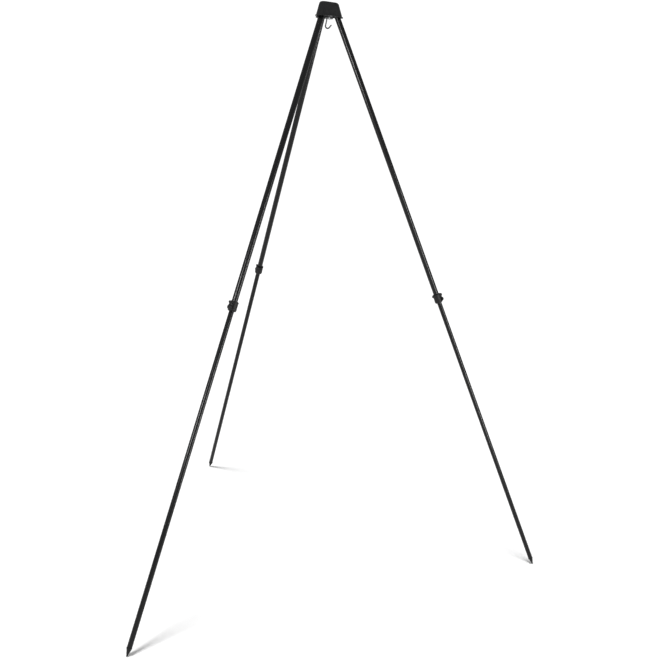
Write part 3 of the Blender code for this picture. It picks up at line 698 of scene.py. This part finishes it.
# the cap's outside in millimetres, from the rim up
LIP_EDGE = ((0.15, 0.45), (0.45, 0.12), (0.9, 0.0), (2.0, 0.0),
            (2.5, 0.12), (2.85, 0.5), (3.0, 1.0))       # above the rim, in from the lip's edge
LIP_FILLET = ((0.15, -0.8), (0.5, -0.35), (1.2, 0.0))   # above the lip, in from the wall
WALL_GROOVE = ((-5, 0), (0, 0), (8, 0), (15, 0), (21, 0), (21.2, 0), (21.35, 0.25),
               (21.75, 0.25), (21.9, 0), (22.1, 0))     # above the pivots, in from the wall
CAP_BOSS = (3.6 * MM, 3.75 * MM)        # radius at the foot and at the roof
CAP_BOSS_FOOT = 20.3 * MM
CAP_RIB_LOW = (22 * MM, -0.8 * MM, 24.0 * MM)   # a roof rib's low corner, and its outer end
CAP_RIB_REACH = 33 * MM


def rounded_triangle(corner_centre, corner_radius, dish, z, rise):
    """One level of the cap or the flange: round corners, the sides' middles hollowed and raised."""
    points = []
    for azimuth in LEG_AZIMUTHS:
        a = math.radians(azimuth)
        middle = (math.cos(a) * corner_centre, math.sin(a) * corner_centre)
        corner = arc(middle, corner_radius, azimuth - LEG_STEP / 2, azimuth + LEG_STEP / 2, CORNER_STEPS)
        points += [Vector((x, y, z)) for x, y in corner]
        last = points[-1]
        following = math.radians(azimuth + LEG_STEP)
        facing = math.radians(azimuth + LEG_STEP / 2)
        normal = Vector((math.cos(facing), math.sin(facing), 0))
        next_centre = Vector((math.cos(following), math.sin(following), 0)) * corner_centre
        first_next = next_centre + normal * corner_radius
        first_next.z = z
        for i in range(1, SIDE_STEPS):
            swell = math.sin(math.pi * i / SIDE_STEPS) ** 2
            points.append(last.lerp(first_next, i / SIDE_STEPS) - normal * dish * swell)
            points[-1].z += rise * swell
    return points


def cap_level(z, inset, dish):
    """One level of the cap, inset from its outer face."""
    along = (CAP_TOP - z) / (CAP_TOP - CAP_RIM)
    centre = CAP_TOP_CORNER[0] + (CAP_RIM_CORNER[0] - CAP_TOP_CORNER[0]) * along
    radius = CAP_TOP_CORNER[1] + (CAP_RIM_CORNER[1] - CAP_TOP_CORNER[1]) * along
    rise = CAP_ARCH * max(0.0, 1 - (z - CAP_RIM) / ARCH_REACH)
    return rounded_triangle(centre, radius - inset, dish, z, rise)


def cap_edge(top, round_radius, wall, steps):
    """Levels round the roof's edge, from the flat roof down to the wall."""
    levels = []
    for i in range(steps + 1):
        a = math.pi / 2 * i / steps
        z = top - round_radius * (1 - math.cos(a))
        levels.append(cap_level(z, wall + round_radius * (1 - math.sin(a)), FACE_DISH * math.sin(a)))
    return levels


def cap_mesh():
    """The moulded shell: roof and walls, a rolled lip, a shadow groove under the roof's edge."""
    outside = [(CAP_RIM, CAP_WALL - 0.4 * MM), (CAP_RIM, -LIP_OUT + 0.9 * MM)]
    outside += [(CAP_RIM + up * MM, -LIP_OUT + inset * MM) for up, inset in LIP_EDGE]
    outside += [(CAP_RIM + LIP_HEIGHT + up * MM, inset * MM) for up, inset in LIP_FILLET]
    outside += [(z * MM, inset * MM) for z, inset in WALL_GROOVE]
    levels = cap_edge(CAP_TOP - CAP_WALL, CAP_EDGE_ROUND - CAP_WALL, CAP_WALL, 8)
    levels += [cap_level(z, CAP_WALL, FACE_DISH) for z in (10 * MM, 0.0, CAP_RIM + 0.5 * MM)]
    levels += [cap_level(z, inset, FACE_DISH) for z, inset in outside]
    levels += cap_edge(CAP_TOP, CAP_EDGE_ROUND, 0.0, 12)[::-1]
    return loft(levels)


def cap_screw_spots():
    turns = [math.radians(azimuth + LEG_STEP / 2) for azimuth in LEG_AZIMUTHS]
    return [Vector((math.cos(a), math.sin(a), 0)) * CAP_SCREW_CIRCLE for a in turns]


def cap_inside():
    """Screw bosses and stiffening ribs under the roof, sunk half a millimetre into it."""
    roof = CAP_TOP - CAP_WALL + 0.5 * MM
    foot_radius, roof_radius = CAP_BOSS
    parts = []
    for spot in cap_screw_spots():
        ring = filleted([(CAP_SCREW_HOLE, roof, 0), (CAP_SCREW_HOLE, CAP_BOSS_FOOT, 0.3 * MM),
                         (foot_radius, CAP_BOSS_FOOT, 0.5 * MM), (roof_radius, roof, 0)])
        parts.append(shifted(lathe(ring, SMALL), Matrix.Translation(spot)))
    for azimuth in LEG_AZIMUTHS:
        rib = block(CAP_RIB_LOW, (CAP_RIB_REACH, -CAP_RIB_LOW[1], roof))
        parts.append(shifted(rib, turn_z(azimuth)))
    return parts


def make_cap():
    mesh = joined(cap_mesh(), *cap_inside())
    piece("cap_shell", mesh, HEAD, "head", BLACK, "head_cap", angle=32)


def flange(*levels):
    """A plate with a corner between each two legs, through (height, inset) levels."""
    centre, radius = FLANGE_CORNER
    rings = [rounded_triangle(centre, radius - inset, FLANGE_DISH, z, 0.0) for z, inset in levels]
    return shifted(loft(rings), turn_z(180))


def make_base_pad():
    """The moulded pad under the flange, its edges rolled, open in the middle for the hook's nut."""
    edge = 0.7 * MM
    rise = 0.2 * MM
    pad = flange((BASE_BOTTOM, BASE_INSET + edge), (BASE_BOTTOM + rise, BASE_INSET + rise),
                 (BASE_BOTTOM + edge, BASE_INSET), (BASE_TOP - rise, BASE_INSET),
                 (BASE_TOP, BASE_INSET + rise))
    cuts = [bar(FLANGE_RECESS, 20 * MM, (0, 0, BASE_TOP), sides=60)]
    cuts += [bar(CAP_SCREW_HOLE, 20 * MM, spot + Vector((0, 0, BASE_TOP))) for spot in cap_screw_spots()]
    piece("base_cover", carved(pad, cuts=cuts), HEAD, "head", BLACK, "base_pad")


BLOCK_RADIUS = 16 * MM
BLOCK_TOP = 18 * MM
BLOCK_BOTTOM = -12 * MM
SHANK_HOLE = 2.8 * MM
CLEVIS_WIDTH = 20.6 * MM
CLEVIS_ROUND = 8.5 * MM
CLEVIS_ROOT = 8 * MM        # from the axis
CLEVIS_TOP = 15 * MM
CLEVIS_BOTTOM = -10 * MM
SLOT_LOW = (19 * MM, -6.3 * MM, -30 * MM)   # the clevis slot, cut right through
SLOT_HIGH = (60 * MM, 6.3 * MM, 40 * MM)
PILLAR_RADIUS = 5.0 * MM
PILLAR_TOP = 20 * MM
PILLAR_BOTTOM = FLANGE_BOTTOM + 1 * MM


def make_block():
    """The cast hinge block: core, three clevises with stop faces, three screw pillars, a flange."""
    core = lathe(filleted([(0, BLOCK_TOP, 0), (BLOCK_RADIUS, BLOCK_TOP, 1 * MM),
                           (BLOCK_RADIUS, BLOCK_BOTTOM, 1.2 * MM), (0, BLOCK_BOTTOM, 0)]), 60)
    adds = []
    cuts = [bar(SHANK_HOLE, 60 * MM, (0, 0, 0))]
    for azimuth in LEG_AZIMUTHS:
        outline = [(CLEVIS_ROOT, CLEVIS_BOTTOM), *arc((PIVOT_RADIUS, 0), CLEVIS_ROUND, -95, 80, 20),
                   (CLEVIS_ROOT, CLEVIS_TOP)]
        turn = turn_z(azimuth)
        adds.append(shifted(plate(outline, CLEVIS_WIDTH), turn))
        cuts.append(shifted(block(SLOT_LOW, SLOT_HIGH), turn))
        cuts.append(shifted(bar(PIVOT_HOLE, 40 * MM, (PIVOT_RADIUS, 0, 0), "Y"), turn))
    adds.append(flange((FLANGE_BOTTOM, 0.0), (FLANGE_TOP, 0.0)))
    pillar_middle = Vector((0, 0, (PILLAR_TOP + PILLAR_BOTTOM) / 2))
    for spot in cap_screw_spots():
        adds.append(bar(PILLAR_RADIUS, PILLAR_TOP - PILLAR_BOTTOM, spot + pillar_middle))
        cuts.append(bar(CAP_SCREW_HOLE, 90 * MM, spot))
    cuts.append(bar(FLANGE_RECESS, 30 * MM, (0, 0, -27 * MM), sides=60))
    piece("cast_block", carved(core, adds, cuts, 0.35 * MM), HEAD, "head", CAST, "hinge_block")


CAP_SCREW_RADIUS = 1.5 * MM
CAP_SCREW_HEAD = (3.2 * MM, 2.2 * MM)   # radius, height
CAP_SCREW_SEAT = BASE_BOTTOM - 0.3 * MM
CAP_SCREW_PLAIN = -40 * MM  # end of the plain shank, under the head
CAP_SCREW_THREAD = (0.6 * MM, -48.2 * MM, -39.8 * MM)   # pitch, end, start
PIVOT_BOLT_RADIUS = 2.5 * MM
PIVOT_BOLT_PLAIN = -21 * MM
PIVOT_BOLT_THREAD = (0.8 * MM, -25.1 * MM, -20.5 * MM)
PIVOT_SEAT = 10.6 * MM      # the bolt's head and nut, from the leg's middle plane
PIVOT_HEX = 4.0 * MM        # their apothem
BOLT_HEAD_HEIGHT = 3.0 * MM
BOLT_NUT_HEIGHT = 4.0 * MM
BOLT_NUT_BORE = 2.6 * MM


def make_head_fasteners():
    shank = rod(CAP_SCREW_RADIUS, 0, CAP_SCREW_PLAIN, sides=24)
    tail = thread(CAP_SCREW_RADIUS, *CAP_SCREW_THREAD, 24)
    screw = joined(pan_head(*CAP_SCREW_HEAD), shank, tail)
    upside_down = Matrix.Rotation(math.pi, 4, "X")
    for number, spot in enumerate(cap_screw_spots(), 1):
        flip = HEAD @ Matrix.Translation(spot + Vector((0, 0, CAP_SCREW_SEAT))) @ upside_down
        piece(f"boss_screw_{number}", screw, flip, "head", ZINC, f"cap_screw_{number}")
    bolt_head = hexagon(PIVOT_HEX, BOLT_HEAD_HEIGHT)
    shank = rod(PIVOT_BOLT_RADIUS, 0.5 * MM, PIVOT_BOLT_PLAIN)
    tail = thread(PIVOT_BOLT_RADIUS, *PIVOT_BOLT_THREAD, SMALL)
    bolt = joined(bolt_head, shank, tail)
    nut = hexagon(PIVOT_HEX, BOLT_NUT_HEIGHT, BOLT_NUT_BORE)
    for number in LEGS:
        place = upright_frame(number)
        left = place @ Matrix.Translation((0, -PIVOT_SEAT, 0)) @ Matrix.Rotation(math.pi / 2, 4, "X")
        right = place @ Matrix.Translation((0, PIVOT_SEAT, 0)) @ Matrix.Rotation(-math.pi / 2, 4, "X")
        piece(f"hinge_bolt_{number}", bolt, left, "head", ZINC, f"pivot_bolt_{number}")
        piece(f"hinge_nut_{number}", nut, right, "head", ZINC, f"pivot_nut_{number}")


# --- the hook ---------------------------------------------------------------------------------------
HOOK_AZIMUTH = -50.0
BOWL_CENTRE = (4.7 * MM, -45.0 * MM)
BOWL_RADIUS = 8.4 * MM
BOWL_END = 320.0            # degrees round the bowl where the tip runs off straight
HOOK_TIP = 12.0 * MM
NECK = -21.0 * MM
BEND_STEPS = 16
BEND_POWER = 0.8            # below 1 the back bends early and eases into the bowl
SHANK_TOP = 25 * MM
WASHER_RADIUS = 7.5 * MM
WASHER_TOP = -12.3 * MM
WASHER_BOTTOM = -13.5 * MM
HOOK_NUT = (5.5 * MM, 6.0 * MM, 2.65 * MM)      # apothem, height, bore
HOOK_NUT_FOOT = -19.8 * MM
LOCK_NUT = (4.0 * MM, 4.5 * MM, 2.65 * MM)
LOCK_NUT_FOOT = 18.3 * MM


def hook_route():
    """Shank below the nut, the back's easy bend, the bowl, then the flared tip."""
    route = [(0, NECK + 2 * MM), (0, NECK)]
    side = BOWL_CENTRE[0] - BOWL_RADIUS
    drop = NECK - BOWL_CENTRE[1]
    for i in range(1, BEND_STEPS):
        along = i / BEND_STEPS
        bend = (1 - math.cos(math.pi / 2 * along)) ** BEND_POWER
        route.append((side * bend, NECK - drop * along))
    route += arc(BOWL_CENTRE, BOWL_RADIUS, 180, BOWL_END, 30)
    a = math.radians(BOWL_END)
    end = route[-1]
    straight = HOOK_TIP - WIRE_RADIUS
    for i in (1, 2, 3):
        step = straight * i / 3
        route.append((end[0] - math.sin(a) * step, end[1] + math.cos(a) * step))
    return route


def make_hook():
    turn = HEAD @ turn_z(HOOK_AZIMUTH)
    wire = sweep(hook_route(), WIRE_RADIUS, 24)
    shank = thread(WIRE_RADIUS, 0.8 * MM, NECK + 0.5 * MM, SHANK_TOP, SMALL)
    # the wire takes the darkened copy of the zinc: painted shade
    piece("hook_wire", joined(wire, shank), turn, "hook_swivel", ZINC_PAINTED_DARK, "hook", angle=50)
    section = [(WASHER_RADIUS, WASHER_TOP, 0.3 * MM), (WASHER_RADIUS, WASHER_BOTTOM, 0.3 * MM),
               (SHANK_HOLE, WASHER_BOTTOM, 0.2 * MM), (SHANK_HOLE, WASHER_TOP, 0.2 * MM)]
    washer = lathe(filleted(section, closed=True), ROUND, True)
    piece("hook_bearing_washer", washer, turn, "hook_swivel", ZINC, "hook_washer")
    under = turn @ Matrix.Translation((0, 0, HOOK_NUT_FOOT))
    piece("hook_shank_nut", hexagon(*HOOK_NUT), under, "hook_swivel", ZINC, "hook_nut")
    over = turn @ Matrix.Translation((0, 0, LOCK_NUT_FOOT))
    piece("hook_top_nut", hexagon(*LOCK_NUT), over, "hook_swivel", ZINC, "hook_locknut")


# --- the legs ---------------------------------------------------------------------------------------
PLUG_GAP = 0.3 * MM         # between a tube and its plug, spigot or collar
RIVET_Z = -30 * MM          # the knuckle's cross rivet, from the pivot
RIVET_HOLE = 1.8 * MM
# the rivet's domed head in millimetres: radius, height over its seat
RIVET_DOME = ((0, 0.7), (0.8, 0.66), (1.6, 0.54), (2.2, 0.34), (2.6, 0.12), (2.7, 0), (1.5, 0))


def tube_mesh(outer, top, end):
    """A drawn tube with eased ends."""
    bore = outer - WALL
    ease = 0.35 * MM
    section = [(outer, top, ease), (outer, end, ease), (bore, end, ease), (bore, top, ease)]
    return lathe(filleted(section, closed=True, steps=3), ROUND, True)


def knuckle_mesh():
    """The upper tube's top plug, with the tongue that turns on the pivot bolt."""
    eye = 7.5 * MM
    outline = [(-eye, -13 * MM), (eye, -13 * MM), *arc((0, 0), eye, 0, 80, 14), (0, 8 * MM),
               (-6.5 * MM, 8 * MM), (-eye, 7 * MM)]
    plug = UPPER_R - WALL - PLUG_GAP
    section = [(0, -12 * MM, 0), (UPPER_R, -12 * MM, 1.0 * MM), (UPPER_R, -15 * MM, 0.3 * MM),
               (plug, -15 * MM, 0), (plug, -43 * MM, 0.5 * MM), (plug - 1 * MM, -45 * MM, 0.5 * MM),
               (0, -45 * MM, 0)]
    body = lathe(filleted(section), 60)
    cuts = [bar(PIVOT_HOLE, 40 * MM, (0, 0, 0), "Y"), bar(RIVET_HOLE, 40 * MM, (0, 0, RIVET_Z), "Y")]
    return carved(body, [plate(outline, 12 * MM)], cuts, 0.4 * MM)


def rivet_mesh():
    seat = UPPER_R + 0.3 * MM
    dome = [(r * MM, seat + up * MM) for r, up in RIVET_DOME]
    mesh = lathe(dome + [(r, -y) for r, y in reversed(dome)], SMALL)
    return shifted(mesh, Matrix.Translation((0, 0, RIVET_Z)) @ Matrix.Rotation(-math.pi / 2, 4, "X"))


SPAN_STEPS = 14             # facets across the lever's faces
CORNER_FAN = 8              # facets round its side edges
LEVER_STEPS = 110           # levels along it
RIB_FROM = -20.5 * MM
RIB_PITCH = 2.3 * MM
RIB_COUNT = 3
RIB_RISE = 0.45 * MM
RIB_SHARE = 0.72            # of the lever's half width
LOBE_BLEND = 0.8 * MM       # how far the lobe runs into the waist
END_ROUND = 1.6 * MM        # how far the lever thins towards its tip
WING_ROUND = 1.2 * MM       # how far the wings take to reach their width
NECK_GAP = 0.65 * MM        # the lever's neck and cam between the lugs, to each side
CAM_GAP = 0.5 * MM
CAM_RADIUS = 3.4 * MM
CAM_OFFSET = -0.3 * MM
PIN_RADIUS = 1.5 * MM
PIN_BORE = 1.65 * MM
COLLAR_SCREW_RADIUS = 1.3 * MM
COLLAR_SCREW_HOLE = 1.6 * MM
COLLAR_SCREW_HEAD = (2.6 * MM, 1.6 * MM)            # radius, height
COLLAR_SCREW_THREAD = (0.5 * MM, -7.6 * MM, -0.1 * MM)  # pitch, end, start


def collar_mesh():
    """The clamp collar: a beaded top edge, a waist, lugs for the lever and a window for the pad."""
    half = COLLAR_HALF
    full = COLLAR_RADIUS
    bore = UPPER_R + PLUG_GAP
    throat = LOWER_R + PLUG_GAP
    waist = full - 0.5 * MM
    ledge = COLLAR_LEDGE - half
    corners = [(full - 1.1 * MM, half, 0.5 * MM), (full, half - 1.1 * MM, 0.5 * MM),
               (full, half - 4.2 * MM, 0.4 * MM), (waist, half - 4.9 * MM, 0.4 * MM),
               (waist, 9.6 * MM - half, 0.4 * MM), (full, 8.9 * MM - half, 0.4 * MM),
               (full, 5.0 * MM - half, 0.8 * MM), (full - 1.4 * MM, 1.2 * MM - half, 0.8 * MM),
               (full - 2.6 * MM, -half, 0.5 * MM), (throat, -half, 0.3 * MM), (throat, ledge, 0),
               (bore, ledge, 0), (bore, half, 0.3 * MM)]
    body = lathe(filleted(corners, closed=True, steps=3), ROUND, True)
    root = bore + 0.3 * MM
    outline = [(root, PIN_Z - 8 * MM), *arc((PIN_OUT, PIN_Z), LUG_RADIUS, -45, 90, 16),
               (root, PIN_Z + 5.2 * MM)]
    middle = (LUG_OUTER + LUG_INNER) / 2
    lugs = [plate(outline, LUG_OUTER - LUG_INNER, side * middle) for side in (-1, 1)]
    boss_radius, boss_height = SCREW_BOSS
    boss_middle = -(root + full + boss_height) / 2
    boss = bar(boss_radius, full + boss_height - root, (boss_middle, 0, COLLAR_SCREW_Z), "X")
    window = LUG_INNER - 0.2 * MM
    cuts = [block((0, -window, PIN_Z - 4.5 * MM), (30 * MM, window, PIN_Z + 4.5 * MM)),
            bar(PIN_BORE, 40 * MM, (PIN_OUT, 0, PIN_Z), "Y"),
            bar(COLLAR_SCREW_HOLE, 14 * MM, (-15 * MM, 0, COLLAR_SCREW_Z), "X")]
    return carved(body, [*lugs, boss], cuts, 0.3 * MM)


def lever_outside(z):
    """Radius of the lever's outer face from the leg's axis at a height in the pin's frame."""
    waist, waist_z = LEVER_WAIST
    centre, centre_z = LOBE_CENTRE
    shell = waist + (LEVER_HUB - waist) * max(0.0, 1 - z / waist_z)
    inside_lobe = LOBE_RADIUS ** 2 - (z - centre_z) ** 2
    lobe = centre + math.sqrt(inside_lobe) if inside_lobe > 0 else 0.0
    if z <= centre_z:
        return lobe
    gap = max(-1.0, min(1.0, (lobe - shell) / (2 * LOBE_BLEND)))
    return max(shell, lobe) + LOBE_BLEND * (1 - abs(gap)) ** 2 * 0.5


def rib_wave(z):
    """Three thumb ribs across the lobe's outside."""
    phase = (z - RIB_FROM) / RIB_PITCH
    return math.sin(math.pi * (phase % 1.0)) ** 2 if 0 <= phase <= RIB_COUNT else 0.0


def lever_section(z, half, thick_share):
    """One level of the lever: a band round the leg's axis with rounded corners."""
    outside = lever_outside(z)
    thick = (outside - LEVER_INSIDE) * thick_share
    middle = LEVER_INSIDE + (outside - LEVER_INSIDE) / 2
    corner = 0.42 * thick
    points = []
    for side in (1, -1):
        for i in range(SPAN_STEPS + 1):
            points.append((side * (2 * i / SPAN_STEPS - 1) * (half - corner), -side * thick / 2))
        for i in range(1, CORNER_FAN):
            a = math.pi * i / CORNER_FAN
            swell = math.copysign(abs(math.cos(a)) ** 0.7, math.cos(a))
            points.append((side * (half - corner + corner * math.sin(a) ** 0.7), -side * thick / 2 * swell))
    level = []
    ribbed = RIB_SHARE * half
    for across, through in points:
        turn = across / middle
        rise = 0.0
        if through > 0 and abs(across) < ribbed:
            rise = RIB_RISE * max(0.0, 1 - (across / ribbed) ** 6) * rib_wave(z)
        radius = middle + through + rise
        level.append(Vector((radius * math.cos(turn) - PIN_OUT, radius * math.sin(turn), z)))
    return level


def lever_mesh():
    """The cam lever: cam and neck between the lugs, wings under them, a thick thumb lobe."""
    neck_half = LUG_INNER - NECK_GAP
    levels = []
    for i in range(LEVER_STEPS + 1):
        z = LEVER_TIP * i / LEVER_STEPS
        widen = min(max((WING_TOP - 0.1 * MM - z) / WING_ROUND, 0.0), 1.0)
        half = neck_half + (WING_HALF - neck_half) * math.sqrt(1 - (1 - widen) ** 2)
        end = max(0.0, (LEVER_TIP + END_ROUND - z) / END_ROUND)
        share = math.sqrt(max(0.02, 1 - end ** 2))
        levels.append(lever_section(z, half - END_ROUND * (1 - share), share))
    cam_half = LUG_INNER - CAM_GAP
    cam = rod(CAM_RADIUS, cam_half, -cam_half, 0.4 * MM, 40)
    cam = shifted(cam, Matrix.Translation((CAM_OFFSET, 0, 0)) @ Matrix.Rotation(math.pi / 2, 4, "X"))
    return joined(loft(levels), cam)


def pin_mesh():
    half = LUG_OUTER + 0.3 * MM
    pin = rod(PIN_RADIUS, half, -half, 0.35 * MM)
    return shifted(pin, Matrix.Translation((PIN_OUT, 0, PIN_Z)) @ Matrix.Rotation(-math.pi / 2, 4, "X"))


def collar_screw_mesh():
    screw = joined(pan_head(*COLLAR_SCREW_HEAD), thread(COLLAR_SCREW_RADIUS, *COLLAR_SCREW_THREAD, 24))
    seat = -COLLAR_RADIUS - SCREW_BOSS[1] - 0.3 * MM
    sideways = Matrix.Rotation(-math.pi / 2, 4, "Y")
    return shifted(screw, Matrix.Translation((seat, 0, COLLAR_SCREW_Z)) @ sideways)


SHOULDER = 27.0 * MM        # the spike's shoulder over the nib's centre
SPIGOT_LENGTH = 20 * MM     # above the shoulder, in the tube


def spike_mesh():
    """The spike: shoulder with a parting groove, a long cone, a blunt rounded nib."""
    tip = -LEG_LENGTH
    shoulder = tip + SHOULDER
    spigot = LOWER_R - WALL - PLUG_GAP
    collar = LOWER_R + 0.6 * MM
    groove = collar - 0.5 * MM
    nib = arc((0, tip), NIB_RADIUS, 0, -90, 8)
    corners = [(0, shoulder + SPIGOT_LENGTH, 0), (spigot - 1 * MM, shoulder + SPIGOT_LENGTH, 0.3 * MM),
               (spigot, shoulder + 19 * MM, 0.3 * MM), (spigot, shoulder, 0), (LOWER_R, shoulder, 0),
               (collar, shoulder - 0.6 * MM, 0.3 * MM), (collar, tip + 24.8 * MM, 0.2 * MM),
               (groove, tip + 24.4 * MM, 0.1 * MM), (groove, tip + 24.0 * MM, 0.1 * MM),
               (collar, tip + 23.6 * MM, 0.2 * MM), (LOWER_R - 0.8 * MM, tip + 21 * MM, 1.5 * MM),
               (NIB_RADIUS, tip, 0)]
    profile = filleted(corners)
    return lathe([tuple(p) for p in profile[:-1]] + nib[:-1] + [(0, tip - NIB_RADIUS)])


# the tubes' ends in the leg's frame, each 0.3 mm clear of the shoulder or ledge it meets
UPPER_TOP = -15.3 * MM
UPPER_END = COLLAR_LEDGE + 0.3 * MM - CLAMP_CENTRE - COLLAR_HALF
LOWER_TOP = 90 * MM - CLAMP_CENTRE - COLLAR_HALF
LOWER_END = -LEG_LENGTH + 27.3 * MM


def make_legs():
    shapes = {"tube_upper": (tube_mesh(UPPER_R, UPPER_TOP, UPPER_END), "leg", COAT, "upper_tube"),
              "tube_lower": (tube_mesh(LOWER_R, LOWER_TOP, LOWER_END), "lower_leg", COAT, "lower_tube"),
              "knuckle_plug": (knuckle_mesh(), "leg", GREY, "knuckle"),
              "cross_rivet": (rivet_mesh(), "leg", OXIDE, "knuckle_rivet"),
              "spike": (spike_mesh(), "lower_leg", BLACK, "spike_foot")}
    clamp_shapes = {"collar": (collar_mesh(), "leg", BLACK, "clamp_collar"),
                    "hinge_pin": (pin_mesh(), "leg", OXIDE, "lever_pin"),
                    "collar_fixing": (collar_screw_mesh(), "leg", OXIDE, "collar_screw")}
    lever = lever_mesh()
    for number in LEGS:
        place = leg_frame(number)
        clamp_place = place @ Matrix.Translation((0, 0, -CLAMP_CENTRE))
        for group, at in ((shapes, place), (clamp_shapes, clamp_place)):
            for name, (mesh, body, look, node) in group.items():
                piece(f"{name}_{number}", mesh, at, f"{body}_{number}", look, f"{node}_{number}")
        piece(f"cam_lever_{number}", lever, lever_frame(number), f"lever_{number}", BLACK,
              f"clamp_lever_{number}")


def dress_kept_nodes():
    """The hidden moulded pieces keep their frame meshes and take the grey acetal."""
    for base in ("brake_pad", "guide_bush"):
        for number in LEGS:
            node = frame["nodes"][f"{base}_{number}"]
            node.data.materials.clear()
            node.data.materials.append(GREY)


make_cap()
make_block()
make_base_pad()
make_head_fasteners()
make_hook()
make_legs()
dress_kept_nodes()
